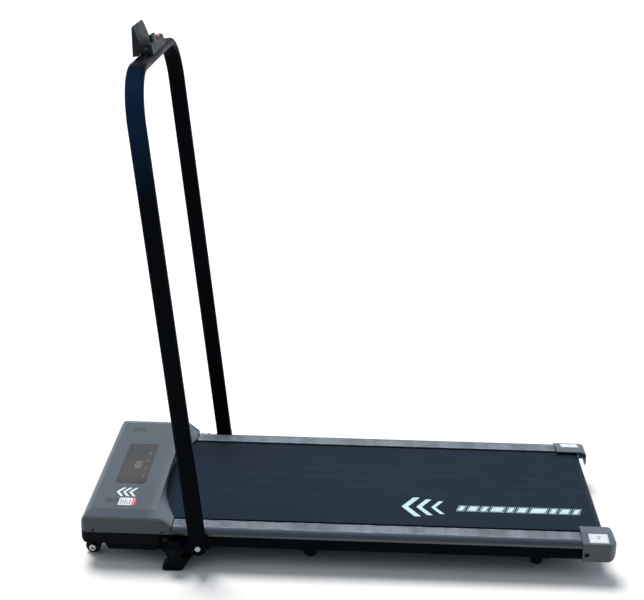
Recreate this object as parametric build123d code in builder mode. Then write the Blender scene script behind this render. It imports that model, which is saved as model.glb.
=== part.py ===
from build123d import *
import math
import os

# Under-desk walking treadmill with a fold-down handrail, millimetres.
# +X points to the rear of the deck, +Z up, the deck is symmetric about Y = 0 and stands on Z = 0.
# The walker faces -X, so the left side is -Y. Left pieces are drawn and mirrored to the right.

os.makedirs("parts", exist_ok=True)

# ---------------------------------------------------------------- driving dimensions
overall_length = 1256.0
rear_x = overall_length / 2
front_x = -rear_x
running_fit = 0.05          # radial clearance of a shaft that turns in a hole
bolt_clearance = 0.2        # radial clearance of a bolt in a plain hole

# steel frame
frame_outer_y = 255.0
frame_inner_y = 217.0
frame_low_z = 54.3
frame_high_z = 85.4
frame_front_x = front_x + 29.0
frame_rear_x = rear_x - 22.0
frame_wall = 2.0
frame_width = frame_outer_y - frame_inner_y
frame_height = frame_high_z - frame_low_z
frame_mid_y = (frame_outer_y + frame_inner_y) / 2
frame_mid_z = (frame_high_z + frame_low_z) / 2
cross_member_x = (-380.0, -100.0, 180.0, 460.0)
cross_low_z, cross_high_z = 58.5, 75.5
cross_length_x = 40.0

# rollers, belt and deck
belt_width = 400.0
belt_thickness = 1.6
roller_radius = 20.0
roller_z = 76.9
belt_slack = 0.2            # the belt stands this far off the rollers, because it does not move with them
front_roller_x = -475.0
belt_rear_x = 609.0
rear_roller_x = belt_rear_x - belt_thickness - belt_slack - roller_radius
drum_half = belt_width / 2 + 2.0
axle_radius = 6.0
deck_half_width = 213.5
deck_low_z, deck_high_z = 82.0, 96.7
deck_front_x, deck_rear_x = -430.0, 551.0
deck_screw_y = 206.0

# foot rails and rear end caps
rail_inner_y = 210.2
rail_top_z = 100.0
rail_outer_y = 262.0
rail_skirt_z = 86.7
cap_front_x = 547.5
cap_wall = 3.0
rail_front_x = -411.5
rail_rear_x = cap_front_x - 0.5

# motor hood
hood_half = 258.8
hood_top_half = 231.8
hood_top_z = 135.0
hood_shoulder_z = 127.5
hood_seam_z = 86.0
hood_crease_x = -450.0
hood_horn_x = -411.0
hood_arch_x = -456.0        # front-most point of the arched rear edge, on the centre line
hood_arch_half = 207.0
hood_wall = 3.0
hood_corner = 18.0
window_x, window_length, window_width = -535.0, 216.0, 74.0

# handrail
pivot_x, pivot_z = -345.5, 70.9
lean = math.radians(6.44)
rail_half_span = 282.4
handrail_height = 1106.5
handrail_bend = 108.0
tube_broad, tube_thick, tube_wall = 40.0, 20.0, 2.0
knob_x, knob_z, knob_radius = -400.0, 62.0, 26.0
pivot_bolt_radius = 4.0

# feet and transport wheels
foot_y, foot_radius, foot_plate = 182.0, 15.0, 3.5
mid_foot_x, rear_foot_x = -88.0, 455.0
wheel_radius = 18.5
wheel_x = front_x + wheel_radius
wheel_y, wheel_width = 200.0, 16.0


# ---------------------------------------------------------------- helpers
def save(piece, name):
    piece.part.label = name
    export_step(piece.part, f"parts/{name}.step")


def save_pair(left, name):
    save(left, name + "_left")
    with BuildPart() as right:
        mirror(left.part, about=Plane.XZ)
    save(right, name + "_right")


def side(y):
    """A plane that faces the left side, -Y, at distance y from the middle: its axes are X and Z."""
    return Plane.XZ.offset(y)


def round_bar(plane, centres, radius, length, mode=Mode.ADD):
    with BuildSketch(plane) as section:
        with Locations(*centres):
            Circle(radius)
    extrude(section.sketch, amount=length, mode=mode)


def outline_bar(plane, points, length, mode=Mode.ADD):
    with BuildSketch(plane) as section:
        with BuildLine():
            Polyline(*points, close=True)
        make_face()
    extrude(section.sketch, amount=length, mode=mode)


def box_tube(plane, centres, width, height, wall, length):
    """Lengths of rectangular steel tube with rounded corners."""
    with BuildSketch(plane) as section:
        with Locations(*centres):
            RectangleRounded(width, height, 1.5 * wall)
            RectangleRounded(width - 2 * wall, height - 2 * wall, 0.6 * wall, mode=Mode.SUBTRACT)
    extrude(section.sketch, amount=length)


def plate(plane, centres, width, height, corner, thickness, mode=Mode.ADD):
    """Flat plates with rounded corners, or the openings for them."""
    with BuildSketch(plane) as section:
        with Locations(*centres):
            RectangleRounded(width, height, corner)
    extrude(section.sketch, amount=thickness, mode=mode)


def hex_bar(plane, centres, radius, length, mode=Mode.ADD):
    with BuildSketch(plane) as section:
        with Locations(*centres):
            RegularPolygon(radius, 6)
    extrude(section.sketch, amount=length, mode=mode)


def cross_recess(plane, centres, size, arm):
    """The recess of a cross-head screw."""
    with BuildSketch(plane) as section:
        with Locations(*centres):
            Rectangle(size, arm)
            Rectangle(arm, size)
    extrude(section.sketch, amount=2, mode=Mode.SUBTRACT)


def belt_ring(y_start, width, front, rear, inner_radii, thickness):
    """A closed belt round two pulleys, each given by its centre in X and Z."""
    with BuildPart() as ring:
        with BuildSketch(side(y_start)):
            with Locations(front):
                Circle(inner_radii[0] + thickness)
            with Locations(rear):
                Circle(inner_radii[1] + thickness)
            make_hull()
        extrude(amount=width)
        with BuildSketch(side(y_start)):
            with Locations(front):
                Circle(inner_radii[0])
            with Locations(rear):
                Circle(inner_radii[1])
            make_hull()
        extrude(amount=width, mode=Mode.SUBTRACT)
    return ring


# ---------------------------------------------------------------- steel frame
pivot_bolt_hole = pivot_bolt_radius + bolt_clearance
bracket_screws_at = ((-427.0, 74.0), (-372.0, 63.0), (-324.0, 76.0))
bracket_screw_radius = 3.0
axle_slot_length = 28.0
front_tube_depth = 20.0
cross_wall = 1.6
end_plug = 4.0
drill = 10.0                # a drilled hole starts half of this in front of the wall it goes through
tension_radius = 3.5
tension_hole = tension_radius + bolt_clearance
deck_screw_radius = 2.5
deck_screw_hole = deck_screw_radius + bolt_clearance

with BuildPart() as side_frame:
    frame_centre = [(-frame_mid_y, frame_mid_z)]
    box_tube(Plane.YZ.offset(frame_front_x), frame_centre, frame_width, frame_height, frame_wall,
             frame_rear_x - frame_front_x)
    plate(Plane.YZ.offset(frame_rear_x - end_plug), frame_centre, frame_width - 2 * frame_wall,
          frame_height - 2 * frame_wall, 0.6 * frame_wall, end_plug)
    # bolt holes in the outer wall for the bracket, the pivot and the lock knob
    outer_wall = side(frame_outer_y - drill / 2)
    round_bar(outer_wall, [(pivot_x, pivot_z), (knob_x, knob_z)], pivot_bolt_hole + 0.1, drill, Mode.SUBTRACT)
    round_bar(outer_wall, bracket_screws_at, bracket_screw_radius + 0.1, drill, Mode.SUBTRACT)
    # axle hole in front, adjusting slot and tension bolt hole behind
    inner_wall = side(frame_inner_y - drill / 2)
    round_bar(inner_wall, [(front_roller_x, roller_z)], axle_radius + 0.1, drill, Mode.SUBTRACT)
    with BuildSketch(inner_wall):
        with Locations((rear_roller_x, roller_z)):
            SlotOverall(axle_slot_length, 2 * axle_radius + 0.4)
    extrude(amount=drill, mode=Mode.SUBTRACT)
    round_bar(Plane.YZ.offset(frame_rear_x - drill), [(-frame_mid_y, roller_z)],
              tension_hole, 2 * drill, Mode.SUBTRACT)
save_pair(side_frame, "side_frame")

with BuildPart() as front_cross_tube:
    box_tube(side(-frame_inner_y), [(frame_front_x + front_tube_depth / 2, frame_mid_z)], front_tube_depth,
             frame_height, frame_wall, 2 * frame_inner_y)
save(front_cross_tube, "front_cross_tube")

with BuildPart() as cross_members:
    centres = [(x, (cross_low_z + cross_high_z) / 2) for x in cross_member_x]
    box_tube(side(-frame_inner_y), centres, cross_length_x, cross_high_z - cross_low_z, cross_wall,
             2 * frame_inner_y)
    screw_spots = [(x, y) for x in cross_member_x for y in (-deck_screw_y, deck_screw_y)]
    round_bar(Plane.XY.offset(cross_high_z - drill / 2), screw_spots, deck_screw_hole, drill, Mode.SUBTRACT)
save(cross_members, "cross_members")

# ---------------------------------------------------------------- deck
with BuildPart() as deck_board:
    with BuildSketch(Plane.XY.offset(deck_low_z)):
        with Locations(((deck_front_x + deck_rear_x) / 2, 0)):
            Rectangle(deck_rear_x - deck_front_x, 2 * deck_half_width)
    extrude(amount=deck_high_z - deck_low_z)
    chamfer(deck_board.edges().filter_by(Axis.Y).group_by(Axis.Z)[-1], 4)
    with Locations(*[(x, y, deck_high_z) for x, y in screw_spots]):
        CounterSinkHole(radius=deck_screw_hole, counter_sink_radius=2 * deck_screw_radius)
save(deck_board, "deck_board")

with BuildPart() as deck_cushions:
    cushion_height = deck_low_z - cross_high_z
    round_bar(Plane.XY.offset(cross_high_z), screw_spots, 7.0, cushion_height)
    round_bar(Plane.XY.offset(cross_high_z), screw_spots, deck_screw_hole, cushion_height, Mode.SUBTRACT)
save(deck_cushions, "deck_cushions")

with BuildPart() as deck_screws:
    for x, y in screw_spots:
        with BuildSketch(Plane(origin=(x, y, 0), x_dir=(1, 0, 0), z_dir=(0, -1, 0))):
            with BuildLine():
                Polyline((0, cross_high_z - 9.5), (deck_screw_radius, cross_high_z - 9.5),
                         (deck_screw_radius, deck_high_z - 2.4), (4.8, deck_high_z - 0.1),
                         (1.6, deck_high_z - 0.1), (1.6, deck_high_z - 1.6), (0, deck_high_z - 1.6),
                         close=True)
            make_face()
        revolve(axis=Axis((x, y, 0), (0, 0, 1)))
save(deck_screws, "deck_screws")

# ---------------------------------------------------------------- rollers and walking belt
with BuildPart() as roller_axles:
    front_half, rear_half = frame_inner_y + 11, frame_outer_y - 7
    round_bar(side(-front_half), [(front_roller_x, roller_z)], axle_radius, 2 * front_half)
    round_bar(side(-rear_half), [(rear_roller_x, roller_z)], axle_radius, 2 * rear_half)
    tension_spots = [(-frame_mid_y, roller_z), (frame_mid_y, roller_z)]
    round_bar(Plane.YZ.offset(rear_roller_x - drill), tension_spots, tension_hole, 2 * drill, Mode.SUBTRACT)
save(roller_axles, "roller_axles")


drum_wall, bearing_width, seal_depth = 2.5, 10.0, 1.2
seal_outer, seal_inner = 14.5, 9.5


def make_drum(x):
    bearing_seat = roller_radius - drum_wall
    with BuildPart() as drum:
        round_bar(side(-drum_half), [(x, roller_z)], roller_radius, 2 * drum_half)
        round_bar(side(-drum_half), [(x, roller_z)], bearing_seat, 2 * drum_half, Mode.SUBTRACT)
        chamfer(drum.edges().filter_by(GeomType.CIRCLE).group_by(SortBy.RADIUS)[-1], 0.8)
    return drum


def make_bearings(x):
    with BuildPart() as bearings:
        for start in (-drum_half, drum_half - bearing_width):
            round_bar(side(start), [(x, roller_z)], roller_radius - drum_wall, bearing_width)
        round_bar(side(-drum_half), [(x, roller_z)], axle_radius + running_fit, 2 * drum_half, Mode.SUBTRACT)
        for start in (-drum_half, drum_half - seal_depth):
            round_bar(side(start), [(x, roller_z)], seal_outer, seal_depth, Mode.SUBTRACT)
            with BuildSketch(side(start)):
                with Locations((x, roller_z)):
                    Circle(seal_inner)
                    Circle(axle_radius + running_fit, mode=Mode.SUBTRACT)
            extrude(amount=seal_depth)
    return bearings


save(make_drum(front_roller_x), "front_roller")
save(make_bearings(front_roller_x), "front_roller_bearings")
save(make_drum(rear_roller_x), "rear_roller")
save(make_bearings(rear_roller_x), "rear_roller_bearings")

belt_inner = roller_radius + belt_slack
walking_belt = belt_ring(-belt_width / 2, belt_width, (front_roller_x, roller_z), (rear_roller_x, roller_z),
                         (belt_inner, belt_inner), belt_thickness)
save(walking_belt, "walking_belt")

with BuildPart() as tension_bolts:
    shank_start = rear_roller_x - 24
    head_height = 5.5
    round_bar(Plane.YZ.offset(shank_start), tension_spots, tension_radius, frame_rear_x - shank_start)
    hex_bar(Plane.YZ.offset(frame_rear_x), tension_spots, 2 * tension_radius, head_height)
    hex_bar(Plane.YZ.offset(frame_rear_x + head_height - 3), tension_spots, 3.2, 3, Mode.SUBTRACT)
save(tension_bolts, "tension_bolts")

# ---------------------------------------------------------------- motor and drive
motor_x, motor_z, motor_radius = -541.0, frame_low_z + 34.0, 34.0
motor_low_y, motor_high_y = -30.0, 150.0
motor_pulley_radius, roller_pulley_radius = 12.0, 24.0
pulley_start, pulley_width, flange = 202.0, 12.0, 1.5
shaft_radius = 5.0
mount_x, mount_y = motor_x - 10, (motor_low_y + motor_high_y) / 2
mount_length, mount_width, mount_plate = 90.0, 120.0, 4.0

with BuildPart() as drive_motor:
    round_bar(side(-motor_high_y), [(motor_x, motor_z)], motor_radius, motor_high_y - motor_low_y)
    fillet(drive_motor.edges().filter_by(GeomType.CIRCLE), 3)
    round_bar(side(-motor_high_y), [(motor_x, motor_z)], shaft_radius + running_fit, 24, Mode.SUBTRACT)
    vent_ring = 24.0
    turns = [math.radians(angle) for angle in range(0, 360, 45)]
    vents = [(motor_x + vent_ring * math.cos(turn), motor_z + vent_ring * math.sin(turn)) for turn in turns]
    round_bar(side(-motor_low_y - 3), vents, 3.0, 5, Mode.SUBTRACT)
save(drive_motor, "drive_motor")

with BuildPart() as motor_mount:
    mount_plane = Plane.XY.offset(frame_low_z - mount_plate)
    plate(mount_plane, [(mount_x, mount_y)], mount_length, mount_width, 6, mount_plate)
    bolt_spots = [(mount_x - 37, mount_y + offset) for offset in (-40, 40)]
    round_bar(mount_plane, bolt_spots, 3.2, mount_plate, Mode.SUBTRACT)
save(motor_mount, "motor_mount")


def make_pulley(x, z, radius, bore):
    with BuildPart() as pulley:
        round_bar(side(-pulley_start - pulley_width), [(x, z)], radius, pulley_width)
        for start in (pulley_start + flange, pulley_start + pulley_width):
            round_bar(side(-start), [(x, z)], radius + 2.6, flange)
        round_bar(side(-pulley_start - pulley_width), [(x, z)], bore, pulley_width, Mode.SUBTRACT)
    return pulley


save(make_pulley(front_roller_x, roller_z, roller_pulley_radius, axle_radius + 0.3), "roller_pulley")
with BuildPart() as motor_pulley:
    add(make_pulley(motor_x, motor_z, motor_pulley_radius, shaft_radius).part)
    shaft_end = pulley_start + pulley_width + 2
    round_bar(side(-shaft_end), [(motor_x, motor_z)], shaft_radius, shaft_end - motor_high_y + 22)
save(motor_pulley, "motor_pulley")

drive_gap, drive_thickness = 0.15, 1.8
drive_belt = belt_ring(-pulley_start - pulley_width + flange + 0.5, pulley_width - 2 * flange - 1,
                       (motor_x, motor_z), (front_roller_x, roller_z),
                       (motor_pulley_radius + drive_gap, roller_pulley_radius + drive_gap), drive_thickness)
save(drive_belt, "drive_belt")

control_x, control_y, control_z = motor_x + 1, -120.0, 58.0
board_thickness = 1.6

with BuildPart() as control_board:
    plate(Plane.XY.offset(control_z), [(control_x, control_y)], 64, 130, 3, board_thickness)
    # two capacitors, a transformer and a heat sink
    with BuildSketch(Plane.XY.offset(control_z + board_thickness)):
        with Locations((control_x - 12, control_y - 40), (control_x - 12, control_y - 8)):
            Circle(11)
        with Locations((control_x + 8, control_y + 30)):
            Rectangle(34, 26)
        with Locations((control_x + 18, control_y - 25)):
            Rectangle(12, 60)
    extrude(amount=26)
save(control_board, "control_board")

# ---------------------------------------------------------------- foot rails
with BuildPart() as foot_rail:
    outline_bar(Plane.YZ.offset(rail_front_x), [
        (-rail_inner_y, 97.4), (-rail_inner_y, 99.2), (-rail_inner_y - 0.8, rail_top_z),
        (-240.5, rail_top_z), (-241.5, rail_top_z - 0.9), (-242.5, rail_top_z), (-248, rail_top_z),
        (-260, 95.4), (-rail_outer_y, 92.6), (-rail_outer_y, rail_skirt_z), (-259.8, rail_skirt_z),
        (-259.8, 88), (-frame_outer_y, 88), (-frame_outer_y, frame_high_z), (-frame_inner_y, frame_high_z),
        (-frame_inner_y, 97.4)], rail_rear_x - rail_front_x)
    outline_bar(Plane.YZ.offset(rail_front_x), [
        (-219, 87.2), (-253, 87.2), (-253, 90), (-257.5, 91), (-257.5, 93.6), (-247.5, 97.8), (-219, 97.8)],
        rail_rear_x - rail_front_x, Mode.SUBTRACT)
save_pair(foot_rail, "foot_rail")

# ---------------------------------------------------------------- rear end caps
cap_inner_y, cap_ridge_y, cap_crease_y, cap_outer_y = 194.0, 219.0, 262.0, 264.0
cap_top_z, cap_crease_z, cap_low_z = 107.0, 98.5, 54.0
cap_tongue_y, cap_tongue_low = 203.0, 101.5
cap_corner, cap_heel, cap_brow_x, cap_brow_z = 24.0, 20.0, 16.0, 18.0
cap_slope = math.atan2(cap_top_z - cap_crease_z, cap_crease_y - cap_ridge_y)
cap_screw = [(557.5, 70.8)]
label_x, label_length, label_width, label_depth = rear_x - 42.0, 46.0, 33.0, 0.5
whole = 400.0               # longer than any piece that is trimmed to an outline


def cap_block(inset, low_z, start_x, inner_y):
    """The cap's outer form, or its cavity when inset is the wall's thickness."""
    with BuildPart() as block:
        outline_bar(Plane.YZ.offset(start_x), [
            (-inner_y, cap_tongue_low - inset), (-inner_y, cap_top_z - inset),
            (-cap_ridge_y, cap_top_z - inset),
            (-cap_crease_y + inset, cap_crease_z - inset), (-cap_outer_y + inset, cap_crease_z - 2.4 - inset),
            (-cap_outer_y + inset, low_z), (-cap_tongue_y + 2 * inset, low_z),
            (-cap_tongue_y + 2 * inset, cap_tongue_low - inset)], rear_x - inset - start_x)
        # rounded plan corner
        with BuildSketch(Plane.XY.offset(low_z)):
            with BuildLine():
                Polyline((rear_x - inset, 0), (start_x, 0), (start_x, -cap_outer_y + inset),
                         (rear_x - cap_corner, -cap_outer_y + inset))
                TangentArc((rear_x - cap_corner, -cap_outer_y + inset),
                           (rear_x - inset, -cap_outer_y + cap_corner), tangent=(1, 0))
                Line((rear_x - inset, -cap_outer_y + cap_corner), (rear_x - inset, 0))
            make_face()
        extrude(amount=whole, mode=Mode.INTERSECT)
        # rounded top and bottom of the rear end, seen from the side
        with BuildSketch(side(0)):
            with BuildLine():
                Polyline((rear_x - cap_brow_x, cap_top_z - inset), (start_x, cap_top_z - inset),
                         (start_x, low_z), (rear_x - cap_heel, low_z))
                TangentArc((rear_x - cap_heel, low_z), (rear_x - inset, low_z + cap_heel), tangent=(1, 0))
                Line((rear_x - inset, low_z + cap_heel), (rear_x - inset, cap_top_z - cap_brow_z))
                TangentArc((rear_x - inset, cap_top_z - cap_brow_z), (rear_x - cap_brow_x, cap_top_z - inset),
                           tangent=(0, 1))
            make_face()
        extrude(amount=whole, mode=Mode.INTERSECT)
    return block.part


with BuildPart() as rear_endcap:
    add(cap_block(0, cap_low_z, cap_front_x, cap_inner_y))
    add(cap_block(cap_wall, cap_low_z - 30, cap_front_x - 20, cap_inner_y - 20), mode=Mode.SUBTRACT)
    # shallow seat for the label on the sloping face
    label_y = -(cap_ridge_y + cap_crease_y) / 2
    label_z = (cap_top_z + cap_crease_z) / 2
    label_plane = Plane(origin=(label_x, label_y, label_z), x_dir=(1, 0, 0),
                        z_dir=(0, -math.sin(cap_slope), math.cos(cap_slope)))
    plate(label_plane.offset(-label_depth), [(0, 0)], label_length, label_width, 2, 5, Mode.SUBTRACT)
    # recessed screw: a boss with a stepped hole, standing off the frame's side
    round_bar(side(frame_outer_y), cap_screw, 8.5, cap_outer_y - frame_outer_y)
    round_bar(side(frame_outer_y + cap_wall), cap_screw, 6.0, drill, Mode.SUBTRACT)
    round_bar(side(frame_outer_y - 1), cap_screw, 2.7, drill, Mode.SUBTRACT)
save_pair(rear_endcap, "rear_endcap")

with BuildPart() as endcap_screws:
    round_bar(side(frame_outer_y + cap_wall), cap_screw, 4.6, 3)
    round_bar(side(frame_outer_y), cap_screw, 2.4, cap_wall)
    cross_recess(side(frame_outer_y + cap_wall + 1.5), cap_screw, 5, 1)
    mirror(endcap_screws.part, about=Plane.XZ)
save(endcap_screws, "endcap_screws")

# ---------------------------------------------------------------- motor hood
shoulder_slope = math.atan2(hood_top_z - hood_shoulder_z, hood_half - hood_top_half)
nose_z, nose_roll = 100.0, 22.0
mouth_x, mouth_length, mouth_z = hood_crease_x + 20, 120.0, 101.3


def hood_block(inset, low_z):
    """The hood's outer form, or its cavity when inset is the wall's thickness."""
    half = hood_half - inset
    top_z = hood_top_z - inset
    top_half = hood_top_half - inset * (1 / math.cos(shoulder_slope) - 1) / math.tan(shoulder_slope)
    shoulder_z = top_z - (half - top_half) * math.tan(shoulder_slope)
    nose_x = front_x + inset
    back_x = hood_horn_x + 40
    corner = hood_corner - inset
    roll_x = nose_x + nose_roll
    with BuildPart() as block:
        # side view: upright nose that rolls back to the flat top
        with BuildSketch(side(-half)):
            with BuildLine():
                Line((nose_x, low_z), (nose_x, nose_z))
                TangentArc((nose_x, nose_z), (roll_x, top_z), tangent=(0, 1))
                Polyline((roll_x, top_z), (back_x, top_z), (back_x, low_z), (nose_x, low_z))
            make_face()
        extrude(amount=2 * half)
        # front view: sloping shoulders
        with BuildSketch(Plane.YZ.offset(nose_x - 5)):
            with BuildLine():
                Polyline((-half, low_z), (-half, shoulder_z), (-top_half, top_z), (top_half, top_z),
                         (half, shoulder_z), (half, low_z), close=True)
            make_face()
        extrude(amount=back_x - nose_x + 10, mode=Mode.INTERSECT)
        # plan: rounded front corners
        with BuildSketch(Plane.XY.offset(low_z)):
            with BuildLine():
                Polyline((nose_x, -half + corner), (nose_x, half - corner))
                TangentArc((nose_x, half - corner), (nose_x + corner, half), tangent=(0, 1))
                Polyline((nose_x + corner, half), (back_x, half), (back_x, -half), (nose_x + corner, -half))
                TangentArc((nose_x + corner, -half), (nose_x, -half + corner), tangent=(-1, 0))
            make_face()
        extrude(amount=hood_top_z, mode=Mode.INTERSECT)
        add(hood_tail(inset, low_z), mode=Mode.INTERSECT)
    return block.part


def hood_tail(inset, low_z):
    """Everything in front of the hood's arched rear slope, which is ruled from a straight crease on top
    to an arch at the belt, with a horn over each foot rail."""
    lip_z = 105.0
    reach = 300.0
    horn_x = hood_horn_x - inset
    arch_x = hood_arch_x - inset
    crease_x = hood_crease_x - 1.6 * inset
    far_x = front_x - 50
    with BuildPart() as tail:
        with BuildSketch(Plane.XY.offset(lip_z)) as lip:
            with BuildLine():
                Polyline((far_x, -reach), (horn_x, -reach), (horn_x - 2, -hood_arch_half))
                ThreePointArc((horn_x - 2, -hood_arch_half), (arch_x, 0), (horn_x - 2, hood_arch_half))
                Polyline((horn_x - 2, hood_arch_half), (horn_x, reach), (far_x, reach), (far_x, -reach))
            make_face()
        with BuildSketch(Plane.XY.offset(hood_top_z)):
            with BuildLine():
                Polyline((far_x, -reach), (crease_x + 0.2, -reach), (crease_x, -hood_arch_half))
                ThreePointArc((crease_x, -hood_arch_half), (crease_x - 0.2, 0), (crease_x, hood_arch_half))
                Polyline((crease_x, hood_arch_half), (crease_x + 0.2, reach), (far_x, reach), (far_x, -reach))
            make_face()
        loft(ruled=True)
        extrude(lip.sketch, amount=low_z - lip_z)
    return tail.part


vent_x, vent_y, vent_count, vent_pitch = -562.0, 193.0, 6, 5.6
vent_length, vent_width = 22.0, 1.3
hood_screw_spots = ((-597.0, 91.0), (-434.0, 91.0))
hood_screw_radius = 1.4
window_corner, window_flange, window_sunk = 8.0, 5.0, 0.2

with BuildPart() as motor_hood:
    add(hood_block(0, hood_seam_z))
    add(hood_block(hood_wall, hood_seam_z - 20), mode=Mode.SUBTRACT)
    # the rear wall stops above the belt and the foot rails
    with BuildSketch(Plane.XY.offset(hood_seam_z - 5)):
        with Locations((mouth_x, 0)):
            Rectangle(mouth_length, 2 * (hood_half - hood_wall))
    extrude(amount=mouth_z - hood_seam_z + 5, mode=Mode.SUBTRACT)
    # screw holes in both side walls
    for wall_plane in (side(hood_half - drill), side(-hood_half - drill)):
        round_bar(wall_plane, hood_screw_spots, hood_screw_radius + bolt_clearance, 2 * drill, Mode.SUBTRACT)
    # display window opening
    top_opening = Plane.XY.offset(hood_top_z - drill)
    plate(top_opening, [(window_x, 0)], window_width, window_length, window_corner, 2 * drill, Mode.SUBTRACT)
    # cooling slots on both sides
    with BuildSketch(top_opening):
        with Locations((vent_x, -vent_y), (vent_x, vent_y)):
            with GridLocations(vent_pitch, 0, vent_count, 1):
                SlotOverall(vent_length, vent_width, rotation=90)
    extrude(amount=2 * drill, mode=Mode.SUBTRACT)
save(motor_hood, "motor_hood")

with BuildPart() as display_window:
    hood_ceiling = hood_top_z - hood_wall
    plate(Plane.XY.offset(hood_ceiling), [(window_x, 0)], window_width - 0.5, window_length - 0.5,
          window_corner - 0.2, hood_wall - window_sunk)
    plate(Plane.XY.offset(hood_ceiling - board_thickness), [(window_x, 0)], window_width + 2 * window_flange,
          window_length + 2 * window_flange, window_corner + 1, board_thickness)
save(display_window, "display_window")

digits_y, lamps_y, lamp_pitch = -8.5, -5.0, 41.5
with BuildPart() as display_board:
    board_top_z = hood_ceiling - board_thickness - 3.0
    plate(Plane.XY.offset(board_top_z - board_thickness), [(window_x + 8, 0)], 54, 170, 3, board_thickness)
    # digit block and indicator lamps
    with BuildSketch(Plane.XY.offset(board_top_z)):
        with Locations((window_x + 2, digits_y)):
            Rectangle(17, 46)
    extrude(amount=2.6)
    lamps = [(window_x + 23.6, lamps_y + (i - 1.5) * lamp_pitch) for i in range(4)]
    round_bar(Plane.XY.offset(board_top_z), lamps, 2.0, 1.5)
save(display_board, "display_board")

# ---------------------------------------------------------------- lower pans, power inlet and switch
pan_low_z, pan_wall, pan_rear_x = 58.0, 2.8, -440.0
pan_nose, pan_nose_z = 13.0, 14.0
inlet_y, switch_y, socket_z = 150.0, 106.0, 74.0
inlet_width, inlet_height = 28.0, 18.0
switch_width, switch_height, switch_rim = 22.0, 16.0, 2.0
socket_gap, socket_sunk = 0.3, 0.6


def pan_block(inset, high_z):
    half = hood_half - inset
    nose_x = front_x + inset
    low_z = pan_low_z + inset
    corner = hood_corner - inset
    with BuildPart() as block:
        with BuildSketch(side(-half)):
            with BuildLine():
                Polyline((nose_x + pan_nose, low_z), (pan_rear_x + inset, low_z),
                         (pan_rear_x + inset, high_z), (nose_x, high_z), (nose_x, low_z + pan_nose_z))
                TangentArc((nose_x, low_z + pan_nose_z), (nose_x + pan_nose, low_z), tangent=(0, -1))
            make_face()
        extrude(amount=2 * half)
        with BuildSketch(Plane.XY.offset(low_z)):
            with BuildLine():
                Polyline((nose_x, -half + corner), (nose_x, half - corner))
                TangentArc((nose_x, half - corner), (nose_x + corner, half), tangent=(0, 1))
                Polyline((nose_x + corner, half), (pan_rear_x + inset, half), (pan_rear_x + inset, -half),
                         (nose_x + corner, -half))
                TangentArc((nose_x + corner, -half), (nose_x, -half + corner), tangent=(-1, 0))
            make_face()
        extrude(amount=whole, mode=Mode.INTERSECT)
    return block.part


with BuildPart() as front_pan:
    add(pan_block(0, hood_seam_z - 0.3))
    add(pan_block(pan_wall, hood_seam_z + 20), mode=Mode.SUBTRACT)
    # open underside behind the front tube, closed by the belly pan
    with BuildSketch(Plane.XY.offset(pan_low_z - 5)):
        with Locations((pan_rear_x - 63, 0)):
            Rectangle(200, 2 * (hood_half - pan_wall))
    extrude(amount=15, mode=Mode.SUBTRACT)
    # openings for the power inlet and the switch
    with BuildSketch(Plane.YZ.offset(front_x - drill / 2)):
        with Locations((inlet_y, socket_z)):
            Rectangle(inlet_width + 2 * socket_gap, inlet_height + 2 * socket_gap)
        with Locations((switch_y, socket_z)):
            Rectangle(switch_width + 2 * socket_gap, switch_height + 2 * socket_gap)
    extrude(amount=2 * drill, mode=Mode.SUBTRACT)
save(front_pan, "front_pan")

with BuildPart() as belly_pan:
    belly_half, belly_wall = 240.0, 2.5
    tub = [(-577, 54), (-565, 31), (-450, 31), (-441, 40), (-441, 54)]
    outline_bar(side(-belly_half), tub, 2 * belly_half)
    cavity = [(-574.5, 60), (-574.3, 54), (-563.4, 33.5), (-451, 33.5), (-443.5, 41), (-443.5, 60)]
    outline_bar(side(-belly_half + belly_wall), cavity, 2 * (belly_half - belly_wall), Mode.SUBTRACT)
    fillet(belly_pan.edges().filter_by(Axis.X).group_by(Axis.Z)[0], 2)
    # two fields of air slots
    with BuildSketch(Plane.XY.offset(25)):
        with Locations((-510, -120), (-510, 120)):
            with GridLocations(0, 7, 1, 8):
                SlotOverall(50, 2.6)
    extrude(amount=12, mode=Mode.SUBTRACT)
    # notch for the motor mount
    with BuildSketch(Plane.XY.offset(frame_low_z - mount_plate - 0.3)):
        with Locations((mount_x - 17, mount_y)):
            Rectangle(30, mount_width + 4)
    extrude(amount=10, mode=Mode.SUBTRACT)
save(belly_pan, "belly_pan")

with BuildPart() as power_inlet:
    inlet_plane = Plane.YZ.offset(front_x + socket_sunk)
    inlet_centre = [(inlet_y, socket_z)]
    plate(inlet_plane, inlet_centre, inlet_width, inlet_height, 2, 22)
    plate(inlet_plane, inlet_centre, inlet_width - 5, inlet_height - 5, 3, 15, Mode.SUBTRACT)
    # three contact pins
    with BuildSketch(Plane.YZ.offset(front_x + 8)):
        with Locations((inlet_y - 6, socket_z - 1), (inlet_y, socket_z + 2), (inlet_y + 6, socket_z - 1)):
            Rectangle(2, 4)
    extrude(amount=10)
save(power_inlet, "power_inlet")

switch_x = front_x + 9.0
with BuildPart() as switch_frame:
    switch_depth, switch_back = 20.0, 2.0
    mouth_width, mouth_height = switch_width - 2 * switch_rim, switch_height - 2 * switch_rim
    with BuildSketch(Plane.YZ.offset(front_x + socket_sunk)):
        with Locations((switch_y, socket_z)):
            RectangleRounded(switch_width, switch_height, 1.5)
            Rectangle(mouth_width, mouth_height, mode=Mode.SUBTRACT)
    extrude(amount=switch_depth)
    with BuildSketch(Plane.YZ.offset(front_x + socket_sunk + switch_depth - switch_back)):
        with Locations((switch_y, socket_z)):
            Rectangle(mouth_width, mouth_height)
    extrude(amount=switch_back)
save(switch_frame, "switch_frame")

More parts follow.
